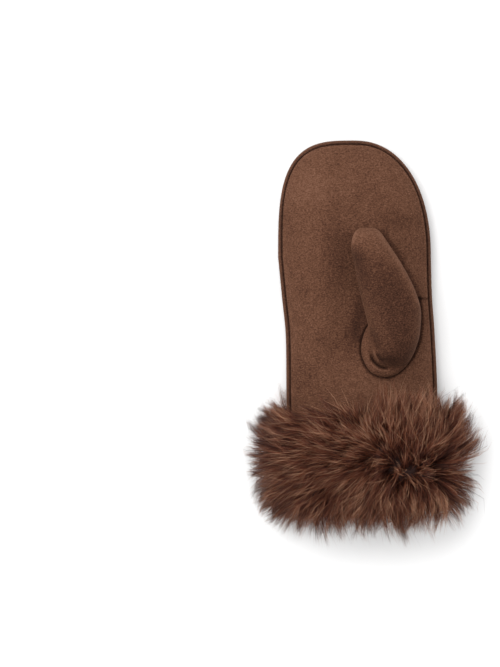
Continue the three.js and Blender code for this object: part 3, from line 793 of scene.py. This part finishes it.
# Metallic yarn, a flat silver film wound on a cream core: bright, with tiny broken glints
def metallicThread():
    material = newMaterial("wound_metallic_yarn")
    place = placeOn(material)
    twist = addNoise(material, place, 0.35, 2)
    glint = addNoise(material, place, 1.6, 2)
    colour = addRamp(material, glint, [(0.3, "#8f8478"), (0.5, "#cfc6ba"), (0.7, "#efe9e0")])
    bump = addBump(material, twist, 0.9, 0.12)
    rough = addRange(material, twist, {"To Min": 0.25, "To Max": 0.5})
    closeMaterial(material, {"Metallic": 0.55}, {
        "Base Color": colour, "Roughness": rough, "Normal": bump})
    return material


threadMaterial = metallicThread()
makeStitches([makeRib("middleRib", False), makeRib("crossRib", True)])
print("seams done")


# Thumb

thumb = {
    "bottom": 95, "length": 101.5, "width": 41, "height": 23, "sunk": 0.5, "across": 22,
    "rollRadius": 4.6, "rollLift": 1.2, "heart": 0.26,
    "holeWidth": 29, "holeLength": 42, "holeUp": 121, "holeLean": 10,
    "wall": 3, "gap": 0.25, "voxelMm": 0.75, "rings": 70, "sides": 56,
    "blockX": (-20, 52, 90), "blockY": (80, 205, 150),
}
thumbRows = [  # up of the length, left and right of the width, high of the height, round 0 to 1
    {"up": 0.008, "left": -0.2, "right": 0.15, "high": 0.3, "round": 0},
    {"up": 0.04, "left": -0.28, "right": 0.28, "high": 0.48, "round": 0},
    {"up": 0.1, "left": -0.35, "right": 0.37, "high": 0.66, "round": 0},
    {"up": 0.2, "left": -0.41, "right": 0.465, "high": 0.84, "round": 0},
    {"up": 0.3, "left": -0.42, "right": 0.5, "high": 0.95, "round": 0},
    {"up": 0.42, "left": -0.49, "right": 0.5, "high": 1, "round": 0.15},
    {"up": 0.54, "left": -0.57, "right": 0.41, "high": 1, "round": 0.9},
    {"up": 0.65, "left": -0.62, "right": 0.285, "high": 0.98, "round": 1},
    {"up": 0.76, "left": -0.68, "right": 0.13, "high": 0.94, "round": 1},
    {"up": 0.85, "left": -0.72, "right": -0.015, "high": 0.88, "round": 1},
    {"up": 0.92, "left": -0.7, "right": -0.13, "high": 0.76, "round": 1},
    {"up": 0.965, "left": -0.65, "right": -0.21, "high": 0.6, "round": 1},
    {"up": 0.992, "left": -0.57, "right": -0.3, "high": 0.38, "round": 1},
]
rollRows = [(-0.44, 0.29, 0.7), (-0.51, 0.2, 0.9), (-0.52, 0.1, 1), (-0.46, 0.03, 1),
            (-0.36, -0.03, 1), (-0.22, -0.058, 1), (-0.08, -0.062, 1), (0.06, -0.042, 1),
            (0.21, 0.006, 0.95), (0.35, 0.08, 0.75), (0.44, 0.16, 0.5), (0.49, 0.26, 0.35)]


def palmTop(x, y):
    inset, _ = placeOf(x, y)
    return palmZ(x, y) + palmRelief(x, y, np.maximum(inset, hand["palmInset"])) - palmGrooves(x, y)


def thumbTube(name, inset, rings):
    shares = np.linspace(thumbRows[0]["up"], thumbRows[-1]["up"], rings)
    shrink = (thumb["length"] - 2 * inset) / thumb["length"]
    y = thumb["bottom"] + thumb["length"] * (0.5 + (shares - 0.5) * shrink)
    left = thumb["across"] + thumb["width"] * readTable(thumbRows, "left", shares) + inset
    right = thumb["across"] + thumb["width"] * readTable(thumbRows, "right", shares) - inset
    x, half = (left + right) / 2, (right - left) / 2
    foot = palmZ(x, y)
    top = foot + thumb["height"] * readTable(thumbRows, "high", shares) - inset
    sunk = (1 - readTable(thumbRows, "round", shares)) * thumb["height"] * thumb["sunk"]
    low = foot - sunk + inset + 0.3
    angle = np.linspace(0, 2 * math.pi, thumb["sides"], endpoint=False)
    points = np.stack(np.broadcast_arrays(
        x[:, None] + half[:, None] * np.cos(angle), y[:, None],
        (top + low)[:, None] / 2 + (top - low)[:, None] / 2 * np.sin(angle)), 2)
    return closedTube(name, points)


def rollTube():
    heart = np.array([thumb["across"], thumb["bottom"] + thumb["length"] * thumb["heart"]])
    rows = []
    for across, up, thick in rollRows:
        edge = np.array([thumb["across"] + thumb["width"] * across,
                         thumb["bottom"] + thumb["length"] * up])
        radius = thumb["rollRadius"] * thick
        edge += unit(heart - edge) * radius
        rows.append([*edge, radius])
    line = smoothLine(rows, 90)
    run = unit(np.gradient(line[:, :2], axis=0))
    radius = line[:, 2][:, None]
    angle = np.linspace(0, 2 * math.pi, 24, endpoint=False)[None, :]
    z = palmZ(line[:, 0], line[:, 1])[:, None] + thumb["rollLift"] + radius * np.sin(angle)
    x = line[:, 0:1] - run[:, 1:] * radius * np.cos(angle)
    y = line[:, 1:2] + run[:, :1] * radius * np.cos(angle)
    return closedTube("roll", np.stack([x, y, z], 2))


# A block whose upper side follows the palm, to cut the thumb's foot to the palm's form
def palmBlock():
    xs, ys = np.linspace(*thumb["blockX"]), np.linspace(*thumb["blockY"])
    x, y = np.meshgrid(xs, ys)
    top = np.stack([x, y, palmTop(x, y) + thumb["gap"]], 2)
    piece = drapeGrid("palmBlock", top, [15, 140, 0])
    applyModifier(piece, "SOLIDIFY", thickness=0.014, offset=-1, use_rim=True)
    points = coordinates(piece)
    count = len(xs) * len(ys)
    points[count:, :2] = points[:count, :2]
    points[count:, 2] = 0.006
    moveTo(piece, points)
    return piece


def holeBlock():
    bpy.ops.object.select_all(action="DESELECT")
    bpy.ops.mesh.primitive_cylinder_add(vertices=48, radius=1, depth=2)
    piece = startPiece("holeBlock")
    lean = math.radians(thumb["holeLean"])
    unit = coordinates(piece)
    u, v = unit[:, 0] * thumb["holeWidth"] / 2, unit[:, 1] * thumb["holeLength"] / 2
    low = seamHeight(np.float64(thumb["holeUp"]))
    high = palmZ(np.float64(thumb["across"]), np.float64(thumb["holeUp"])) + thumb["height"] / 3
    points = np.stack([
        thumb["across"] + u * math.cos(lean) + v * math.sin(lean),
        thumb["holeUp"] + v * math.cos(lean) - u * math.sin(lean),
        np.where(unit[:, 2] > 0, high, low)], 1)
    moveTo(piece, toFrame(points))
    return piece


def combine(piece, other, operation):
    applyModifier(piece, "BOOLEAN", object=other, operation=operation, solver="EXACT")
    bpy.data.objects.remove(other)


creases = [  # a groove has a positive depth, a ridge a negative one, faded towards its ends; tone is painted shade in a groove (below 0) and a painted highlight on a ridge (above 0)
    {"line": [(6.6, 107.5), (7.2, 103.2), (9, 99.6), (11.9, 97), (14.8, 95.5), (17.7, 95.2), (21.5, 97)],
     "depth": 2.4, "width": 1, "tone": -0.9},
    {"line": [(6.6, 126), (8, 119), (9.6, 113), (11.8, 108.5), (13.6, 105.5)],
     "depth": 1.8, "width": 2, "tone": -0.1},
    {"line": [(7.8, 109.5), (9, 106), (10.4, 103), (12.3, 100.2), (13.6, 98.8)],
     "depth": -2, "width": 1, "tone": 0.45},
    {"line": [(11, 107), (12.4, 103.6), (14.4, 101.2), (17.5, 100)],
     "depth": 1.7, "width": 1.3, "tone": -0.3},
    {"line": [(5.4, 102.4), (8.2, 97.4), (12, 94.2), (16.6, 93.2), (21, 94.4)],
     "depth": -0.8, "width": 1.1, "tone": 0.25},
    {"line": [(-2, 195.5), (-4.6, 191), (-6.2, 186), (-6.9, 181)],
     "depth": -0.5, "width": 1.4, "tone": 0.35},
]


# How near each point is to a crease, and how much the crease has faded towards its ends there
def creaseAt(x, y, crease, wide=1):
    away, along = nearLine(x, y, crease["line"])
    return bell(away, crease["width"] * wide), ease(along / 0.3) * ease((1 - along) / 0.3)


def sculptThumb(piece):
    points = coordinates(piece) * 1000 - shift
    x, y, z = points.T
    depth = 0
    for crease in creases:
        near, fade = creaseAt(x, y, crease)
        depth = depth + crease["depth"] * near * (0.1 + 0.9 * fade)
    free = ease((z - palmTop(x, y) - 1.2) / 3)
    waves = 0.35 * softNoise(x, y, 24, 12) + 0.12 * softNoise(x, y + z, 8, 13)
    points[:, 2] = z - (depth - waves) * free
    moveTo(piece, toFrame(points))


# Patches of painted shade on the thumb, darkest round its foot, and one of painted light near its tip
thumbLightAndShadeSpots = [
    {"x": 26, "y": 128, "wide": 20, "long": 34, "lean": 8, "tone": -0.42},
    {"x": 12, "y": 160, "wide": 16, "long": 22, "lean": 20, "tone": -0.3},
    {"x": 4, "y": 190, "wide": 10, "long": 12, "lean": 0, "tone": 0.16},
    {"x": 19, "y": 101, "wide": 9, "long": 4, "lean": -8, "tone": -0.55},
    {"x": 31, "y": 103, "wide": 9, "long": 12, "lean": -40, "tone": -0.3},
    {"x": -4, "y": 175, "wide": 5, "long": 7, "lean": 12, "tone": -0.3},
    {"x": -1, "y": 158, "wide": 6, "long": 14, "lean": 12, "tone": -0.25},
    {"x": 11, "y": 115, "wide": 4, "long": 9, "lean": 20, "tone": -0.28},
]


# Painted shade and light on the thumb: shade in its patches, in the grooves and in the crevice round its
# foot, painted highlights on the ridges and along its free side
def thumbLightAndShade(x, y, z):
    away, _ = nearLine(x, y, thumbFoot, 200)
    low = 1 - ease((z - palmTop(x, y) - 0.6) / 2.5)
    tone = sum(patch(x, y, spot) for spot in thumbLightAndShadeSpots)
    for crease in creases:
        near, fade = creaseAt(x, y, crease, 0.9)
        tone = tone + crease["tone"] * near * fade
    side, _ = nearLine(x, y, thumbSide)
    return tone - 0.9 * bell(away, 2) * low + 0.3 * bell(side - 2.5, 2.2)


def makeThumb():
    piece = thumbTube("thumbCloth", 0, thumb["rings"])
    combine(piece, rollTube(), "UNION")
    combine(piece, palmBlock(), "DIFFERENCE")
    combine(piece, thumbTube("inside", thumb["wall"], thumb["rings"]), "DIFFERENCE")
    combine(piece, holeBlock(), "DIFFERENCE")
    applyModifier(piece, "REMESH", mode="VOXEL", voxel_size=thumb["voxelMm"] * 0.001)
    applyModifier(piece, "SMOOTH", factor=0.5, iterations=6)
    cutFiner(piece, [crease["line"] for crease in creases], 2.4, 1)
    sculptThumb(piece)
    applyModifier(piece, "SMOOTH", factor=0.4, iterations=1)
    smooth(piece)
    toneBy(piece, thumbLightAndShade)
    finishPiece(piece, suedeMaterial, ["thumb"])
    print("thumb done", len(piece.data.polygons))


makeThumb()


# Fur: a dense underlayer, coloured very dark as painted shade deep in the fur, and long guard hairs that
# flow away from a parting on the palm side

fur = {
    "band": 58, "wayRound": 290, "baseFrom": 1.8, "baseTo": 54.5, "baseShade": 0.3,
    "depth": 22, "toThumb": 0.11,
    "hairs": 45600, "pieces": 4, "length": 33, "widthMm": 0.3, "tipMm": 0.05,
    "lengthRange": (0.78, 1.16), "clumpPull": 0.76, "tuftPull": 0.14,
    "clumpMm": 2.8, "tuftMm": 11, "curl": 0.55, "looseShare": 0.11, "guardShare": 0.14,
    "topShare": 0.75, "underShare": 0.68,
}
lie = {  # how the hairs lie: away from the parting, with strays, leans and a whorl
    "parting": [(5, 29), (38, 19.4)], "partingZ": 19, "upright": 7, "upStretch": 1.15,
    "strays": [(9, 26, 50), (11, 9, 60)],  # size, wavelength and seed
    "leanAt": (1, 31), "leanReach": 13, "lean": (14, 5), "underLean": (24, 10), "droop": 5,
    "raisedUp": (25, 25), "raisedAcross": (6, 34), "edgeReach": 12,
    "whorl": (-18, 38), "whorlReach": 15, "whorlSwing": 0.7,
}
furProfile = [(-0.1, 0.14), (0.25, 0.03), (0.58, 0), (0.86, 0.08), (1, 0.3), (1, 0.6),
              (0.84, 0.84), (0.5, 0.97), (0.2, 1), (-0.1, 0.95)]


# The cuff's section at each height y, evenly spaced from the middle of the back over the outer
# side and the palm, with the direction out of the cuff
def cuffSections(ys, count):
    sections = []
    for y in ys:
        half = []
        for edge in (outerEdge(y), thumbEdge(y)):
            centre = middle(y)
            reach = abs(edge - centre)
            inset = np.linspace(reach, hand["backInset"], 30)
            low = np.stack([inset, backHeight(y) + backTurn(inset)], 1)
            t = np.linspace(0, 1, 12)[1:]
            side = np.stack([
                mix(hand["backInset"], hand["palmInset"], t) * (1 - 2 * t) ** 2,
                backHeight(y) + hand["backTurn"] + hand["gusset"] * t], 1)
            share = np.linspace(0, 1, 60)[1:] ** 2
            inset = hand["palmInset"] + (reach - hand["palmInset"]) * share
            x = centre + (edge - centre) * (1 - inset / reach)
            high = np.stack([inset, palmHeight(x, y, share)], 1)
            part = np.vstack([low, side, high])
            part[:, 0] = centre + (edge - centre) * (1 - part[:, 0] / reach)
            half.append(part)
        line = np.vstack([half[0], half[1][::-1][1:]])
        run = runOf(line)
        even = np.linspace(0, run[-1], count)
        sections.append(np.stack([np.interp(even, run, line[:, k]) for k in (0, 1)], 1))
    places = np.array(sections)
    turn = (np.roll(places[:, :-1], -1, 1) - np.roll(places[:, :-1], 1, 1))
    for _ in range(60):
        turn = (np.roll(turn, 1, 1) + turn * 2 + np.roll(turn, -1, 1)) / 4
    turn = np.concatenate([turn, turn[:, :1]], 1)
    out = np.stack([-turn[..., 1], turn[..., 0]], 2)
    return places, unit(out)


furLevels = np.linspace(0, fur["band"], 24)
furPlaces, furOut = cuffSections(furLevels, 361)


# A point of the cuff and the way out of it: around is a share of the way round
def onCuff(around, y):
    u = np.mod(around, 1) * (furPlaces.shape[1] - 1)
    v = np.clip(y / fur["band"], 0, 1) * (len(furLevels) - 1)
    i = np.minimum(u.astype(int), furPlaces.shape[1] - 2)
    j = np.minimum(v.astype(int), len(furLevels) - 2)
    s, t = (u - i)[..., None], (v - j)[..., None]

    def read(grid):
        return mix(mix(grid[j, i], grid[j, i + 1], s), mix(grid[j + 1, i], grid[j + 1, i + 1], s), t)

    place, out = read(furPlaces), unit(read(furOut))
    point = np.stack([place[..., 0], np.broadcast_to(y, place.shape[:-1]), place[..., 1]], -1)
    return point, np.stack([out[..., 0], np.zeros(out.shape[:-1]), out[..., 1]], -1)


# Keeps points off the floor and out of the hand
def keepClear(points, lowest=0.3):
    x, y, z = points[..., 0], points[..., 1], points[..., 2]
    up = np.clip(y, 0, handLength - 1)
    inset, _ = placeOf(x, up)
    inside = ease((inset - 0.5) / 4) * ease((y + 6) / 6)
    top, low = palmZ(x, up) + 0.6, backZ(x, up) - 0.4
    level = (top + low) / 2
    z = np.where((z > level) & (z < top), mix(z, top, inside), z)
    z = np.where((z <= level) & (z > low), mix(z, low, inside), z)
    z = np.where(z < lowest + 2, lowest + 2 * np.exp((z - lowest - 2) / 2), z)
    return np.stack([x, y, z], -1)


def makeFurBase():
    around = np.linspace(0, 1, 181)
    profile = smoothLine(furProfile + furProfile[:1], 61)
    out = np.broadcast_to(profile[None, :, 0], (len(around), len(profile)))
    up = mix(fur["baseFrom"], fur["baseTo"], profile[:, 1])
    y = np.broadcast_to(up[None, :], out.shape)
    point, way = onCuff(np.broadcast_to(around[:, None], out.shape), np.clip(y, 0, fur["band"]))
    depth = np.where(out > 0, out * fur["depth"] * 0.38, out * 2)
    depth = depth * (1 + fur["toThumb"] * way[..., 0])
    bumps = 1 + 0.22 * softNoise(point[..., 0] + point[..., 2], y + point[..., 2], 9, 31)
    depth = np.where(out > 0.2, depth * bumps, 0.2 + np.maximum(depth, 0))
    points = point + way * (0.5 + depth)[..., None]
    points[..., 1] = y
    points[..., 2] = np.maximum(points[..., 2], 0.9)
    points[-1], points[:, -1] = points[0], points[:, 0]
    piece = drapeGrid("furUnderlayer", points, [0, 29, 20])
    faceOut(piece)
    smooth(piece)
    # The underlayer sits low on the hair ramp: its dark colour is painted shade deep in the fur
    for name in ("along", "tone"):
        setValues(piece.data, name, np.full(len(piece.data.vertices), fur["baseShade"]))
    finishPiece(piece, furMaterial, ["fur_cuff"])


# Deep faux fur of fine polyester hairs, whose colour along each hair holds painted shade: near black at
# the root where it is dense, brown along the hair and paler at the tips, with a soft silky shine along
# the hair
def furFibre():
    material = newMaterial("long_pile_fur_fibre")
    along, tone = readAttribute(material, "along"), readAttribute(material, "tone")
    patchy = addNoise(material, placeOn(material), 18, 2)
    shade = addWeighted(material, patchy, 0.35, addWeighted(material, tone, 0.6, along))
    share = addRange(material, shade, {"From Min": 0.3, "From Max": 1.75})
    colour = addRamp(material, share, [
        (0, "#120501"), (0.3, "#34150b"), (0.58, "#5a2e1f"), (0.8, "#804b33"), (1, "#b4866a")])
    rough = addRange(material, along, {"To Min": 0.55, "To Max": 0.4})
    closeMaterial(
        material, {"Metallic": 0, "Specular IOR Level": 0.2},
        {"Base Color": colour, "Roughness": rough})
    return material


def nearestOf(points, centres):
    nearest = np.empty(len(points), int)
    for start in range(0, len(points), 2000):
        part = points[start:start + 2000]
        nearest[start:start + 2000] = ((part[:, None] - centres[None]) ** 2).sum(2).argmin(1)
    return nearest


# Which way the fur lies at each root, and the direction square to it that the hairs curl in
def flowAt(root, out, y, swing, under):
    a, b = np.array(lie["parting"][0]), np.array(lie["parting"][1])
    along = np.clip(((root[:, :2] - a) @ (b - a)) / ((b - a) @ (b - a)), 0, 1)
    nearest = a + along[:, None] * (b - a)
    away = root - np.concatenate([nearest, np.full((len(root), 1), lie["partingZ"])], 1)
    for axis in (0, 1):
        for size, wavelength, seed in lie["strays"]:
            away[:, axis] += size * softNoise(root[:, 0], root[:, 1], wavelength, seed + axis)
    away[:, 1] *= lie["upStretch"]

    # The parting's outer end is covered, and the outer side of the palm lies flat across
    fromLean = np.hypot(root[:, 0] - lie["leanAt"][0], root[:, 1] - lie["leanAt"][1])
    away[:, :2] -= np.outer(bell(fromLean, lie["leanReach"]) * (out[:, 2] > 0), lie["lean"])
    (low, rise), (inner, run) = lie["raisedUp"], lie["raisedAcross"]
    raised = ease((y - low) / rise) * (1 - ease((root[:, 0] - inner) / run)) * np.maximum(out[:, 2], 0)
    away[:, 1] *= 1 - 0.75 * raised

    # The underside lies one way, and the sides droop
    flat = np.abs(out[:, 2])
    away[:, :2] -= np.outer(under, lie["underLean"])
    away[:, 2] -= lie["droop"] * (1 - flat)
    away -= out * (away * out).sum(1, keepdims=True)
    away /= np.linalg.norm(away, axis=1, keepdims=True) + lie["upright"]

    # Both edges of the cuff fan out, up the hand and down over the hem
    edge = lie["edgeReach"]
    away[:, 1] += mix(0.3, 0.8, flat) * np.exp(-(fur["band"] - y) / edge) * (1 - 0.95 * raised)
    away[:, 1] -= mix(0.45, 1, flat) * np.exp(-y / edge)
    side = np.cross(out, away)
    flow = away + side * swing[:, None]
    return flow / np.maximum(np.linalg.norm(flow, axis=1, keepdims=True), 0.75), side


# The line of each hair from its root, as points at the shares of its length
def hairLines(around, y, lengths, swing, curl, shares):
    root, out = onCuff(around, y)
    flat, under = np.abs(out[:, 2]), ease(-out[:, 2] / 0.6)
    flow, side = flowAt(root, out, y, swing, under)
    size = lengths * (1 + fur["toThumb"] * out[:, 0])
    fromMiddle = np.abs(y / fur["band"] * 2 - 1)
    size = size * (1 - 0.3 * (1 - flat) * fromMiddle ** 2)
    high = size * mix(0.97, 0.74, flat) * (1 - 0.42 * fromMiddle ** 3 * flat)
    far = size * mix(0.46, 0.76, flat) * (1 + 0.28 * fromMiddle ** 3 * flat)
    high = high * (1 - 0.65 * under)
    t = shares[None, :, None]
    lines = (root[:, None] - out[:, None] * 0.4
             + out[:, None] * (high[:, None, None] * (1 - (1 - t) ** 2.1))
             + flow[:, None] * (far[:, None, None] * t ** 1.45)
             + side[:, None] * ((far * curl * 0.5)[:, None, None] * (t ** 2.6 - 0.35 * t)))
    lines[..., 2] -= 5 * (1 - under)[:, None] * shares[None, :] ** 2
    return lines


def hairMesh(name, lines, width, tone, shares):
    count, steps = lines.shape[:2]
    random = np.random.default_rng(count)
    tangent = unit(np.gradient(lines, axis=1))
    side = unit(np.cross(tangent, random.normal(size=(count, 1, 3))))
    up = np.cross(tangent, side)
    thick = mix(width[:, None], fur["tipMm"], shares[None, :] ** 1.5)[:, :-1, None, None] / 2
    turn = np.arange(3) * 2 * math.pi / 3
    rings = lines[:, :-1, None] + thick * (
        side[:, :-1, None] * np.cos(turn)[None, None, :, None]
        + up[:, :-1, None] * np.sin(turn)[None, None, :, None])
    points = np.concatenate([rings.reshape(count, -1, 3), lines[:, -1:]], 1)
    each = points.shape[1]
    quads, tip = [], each - 1
    for i in range(steps - 2):
        for j in range(3):
            p, q = i * 3 + j, i * 3 + (j + 1) % 3
            quads.append([p, q, q + 3, p + 3])
    last = (steps - 2) * 3
    ends = [[last + j, last + (j + 1) % 3, tip] for j in range(3)] + [[2, 1, 0]]
    starts = np.arange(count)[:, None, None] * each
    loops = np.concatenate([(np.array(quads)[None] + starts).reshape(count, -1),
                            (np.array(ends)[None] + starts).reshape(count, -1)], 1)
    sizes = np.tile([4] * len(quads) + [3] * len(ends), count)
    mesh = bpy.data.meshes.new(name)
    mesh.vertices.add(count * each)
    mesh.vertices.foreach_set("co", toFrame(points).ravel())
    mesh.loops.add(loops.size)
    mesh.loops.foreach_set("vertex_index", loops.ravel())
    mesh.polygons.add(len(sizes))
    mesh.polygons.foreach_set("loop_start", np.concatenate([[0], np.cumsum(sizes)[:-1]]))
    mesh.polygons.foreach_set("use_smooth", np.ones(len(sizes), bool))
    mesh.update(calc_edges=True)
    mesh.validate()
    ringShares = np.append(np.repeat(shares[:-1], 3), 1.0)
    setValues(mesh, "along", np.tile(ringShares, count))
    setValues(mesh, "tone", np.repeat(tone, each))
    piece = bpy.data.objects.new(name, mesh)
    bpy.context.collection.objects.link(piece)
    return piece


# Groups of hairs that lie together: which group each root is in, and each group's own form
def groupHairs(root, shares, spacing, seed, spread):
    number = int(fur["wayRound"] * fur["band"] / spacing ** 2)
    random = np.random.default_rng(seed)
    around, up = random.uniform(0, 1, number), random.uniform(0, fur["band"], number)
    length = fur["length"] * random.uniform(*fur["lengthRange"], number)
    swing = random.normal(0, spread, number)
    curl = random.normal(0, fur["curl"], number)
    centre, _ = onCuff(around, up)
    lines = hairLines(around, up, length, swing, curl, shares)
    return nearestOf(root, centre), length, swing, curl, lines


def makeHairs():
    random = np.random.default_rng(77)
    shares = np.array([0, 0.3, 0.64, 1])
    around = random.uniform(0, 1, fur["hairs"] * 2)
    up = random.uniform(0.5, fur["band"] - 0.5, len(around))
    _, out = onCuff(around, up)
    chance = mix(fur["topShare"], fur["underShare"], ease(-out[:, 2] / 0.5))
    keep = random.uniform(0, 1, len(around)) < chance
    around, up = around[keep][:fur["hairs"]], up[keep][:fur["hairs"]]
    root, out = onCuff(around, up)
    number = len(root)

    clump, clumpLength, clumpSwing, clumpCurl, clumpLines = groupHairs(
        root, shares, fur["clumpMm"], 5, 0.24)
    tuft, tuftLength, tuftSwing, tuftCurl, tuftLines = groupHairs(root, shares, fur["tuftMm"], 6, 0.2)
    length = clumpLength[clump] * 0.6 + tuftLength[tuft] * 0.4
    sunk = random.uniform(0, 1, number)
    length *= mix(0.68, 1.14, sunk)
    swing = clumpSwing[clump] + tuftSwing[tuft] + random.normal(0, 0.1, number)
    curl = clumpCurl[clump] * 0.6 + tuftCurl[tuft] * 0.6
    loose = random.uniform(0, 1, number) < fur["looseShare"]
    swing = np.where(loose, swing + random.normal(0, 0.7, number), swing)
    fromWhorl = np.hypot(root[:, 0] - lie["whorl"][0], root[:, 1] - lie["whorl"][1])
    swing += 0.35 * softNoise(root[:, 0], root[:, 1] + root[:, 2], 34, 41)
    swing += lie["whorlSwing"] * bell(fromWhorl, lie["whorlReach"]) * (out[:, 2] > 0)
    guard = random.uniform(0, 1, number) < fur["guardShare"]
    length = np.where(loose | guard, length * random.uniform(1, 1.18, number), length)

    # Each hair is pulled towards its clump and its tuft, loose and guard hairs less than the others
    lines = hairLines(around, up, length, swing, curl, shares)
    free = np.where(loose, 0.1, np.where(guard, 0.55, 1))[:, None, None]
    pull = (shares ** 1.2)[None, :, None]
    lines += (clumpLines[clump] - lines) * fur["clumpPull"] * pull * free
    lines += (tuftLines[tuft] - lines) * fur["tuftPull"] * pull
    waver = (1.1 * np.sin(shares * math.pi * 1.3))[None, :, None]
    lines = keepClear(lines + random.normal(0, 1, (number, 1, 3)) * waver)
    width = fur["widthMm"] * random.uniform(0.7, 1.2, number) * np.where(guard, 1.25, 1)

    # Sunken hairs are darker, painted shade for the depth of the fur; guard and loose hairs are paler,
    # each clump has a tone of its own, and the hairs get paler towards the thumb's side, painted light
    # that evens out the key light from the outer side
    tone = 0.03 + 0.4 * sunk + 0.4 * random.normal(size=number) + 0.75 * guard
    clumpTone = np.random.default_rng(9).normal(0, 0.34, len(clumpLength))[clump]
    tone = np.clip(tone + clumpTone + 0.3 * loose + root[:, 0] / 350, -0.3, 1.6)
    order = np.argsort(np.mod(around + 0.125, 1), kind="stable")
    for k, part in enumerate(np.array_split(order, fur["pieces"])):
        piece = hairMesh(f"furHairs.{k}", lines[part], width[part], tone[part], shares)
        finishPiece(piece, furMaterial, ["fur_cuff"])
        print("hairs", k, len(piece.data.polygons))
    print("fur done")


furMaterial = furFibre()
makeFurBase()
makeHairs()


# Light, floor and camera

view = {
    "lensMm": 400, "sensorMm": 36, "photoMmPerPixel": 0.72, "photoCentre": (-79.9, 119.9),
    "photoHeight": 667, "focusHeightMm": 14,
}
lights = {  # place and size in metres, power in watts
    "key": {"place": (-1.0, 1.0, 1.8), "size": 2.2, "power": 47},
    "fill": {"place": (1.2, -0.9, 1.8), "size": 1.8, "power": 8},
}


def makeStage():
    bpy.ops.object.select_all(action="DESELECT")
    bpy.ops.mesh.primitive_plane_add(size=6, location=(0, 0, 0))
    floor = startPiece("floor")
    moveTo(floor, coordinates(floor) + [0, 0, -0.0002])
    material = newMaterial("matt_white_paper")
    closeMaterial(material, {"Base Color": (0.93, 0.93, 0.93, 1), "Roughness": 0.9}, {})
    floor.data.materials.append(material)

    world = bpy.data.worlds.new("studio")
    bpy.context.scene.world = world
    world.use_nodes = True
    world.node_tree.nodes["Background"].inputs["Color"].default_value = (1, 1, 1, 1)
    world.node_tree.nodes["Background"].inputs["Strength"].default_value = 0.85

    for name, lamp in lights.items():
        bpy.ops.object.light_add(type="AREA", location=lamp["place"])
        light = bpy.context.object
        light.name = name
        light.data.size = lamp["size"]
        light.data.energy = lamp["power"]
        light.rotation_euler = (-Vector(lamp["place"])).to_track_quat("-Z", "Y").to_euler()

    heightMm = view["photoHeight"] * view["photoMmPerPixel"]
    x, y = np.array(view["photoCentre"]) + shift[:2]
    distance = heightMm * view["lensMm"] / view["sensorMm"]
    bpy.ops.object.camera_add(
        location=(x * 0.001, y * 0.001, (view["focusHeightMm"] + distance) * 0.001))
    camera = bpy.context.object
    camera.name = "photo_camera"
    camera.data.lens = view["lensMm"]
    camera.data.sensor_width = view["sensorMm"]
    camera.data.clip_end = 20
    bpy.context.scene.camera = camera
    bpy.context.scene.view_settings.view_transform = "Standard"
    print("stage done")


makeStage()
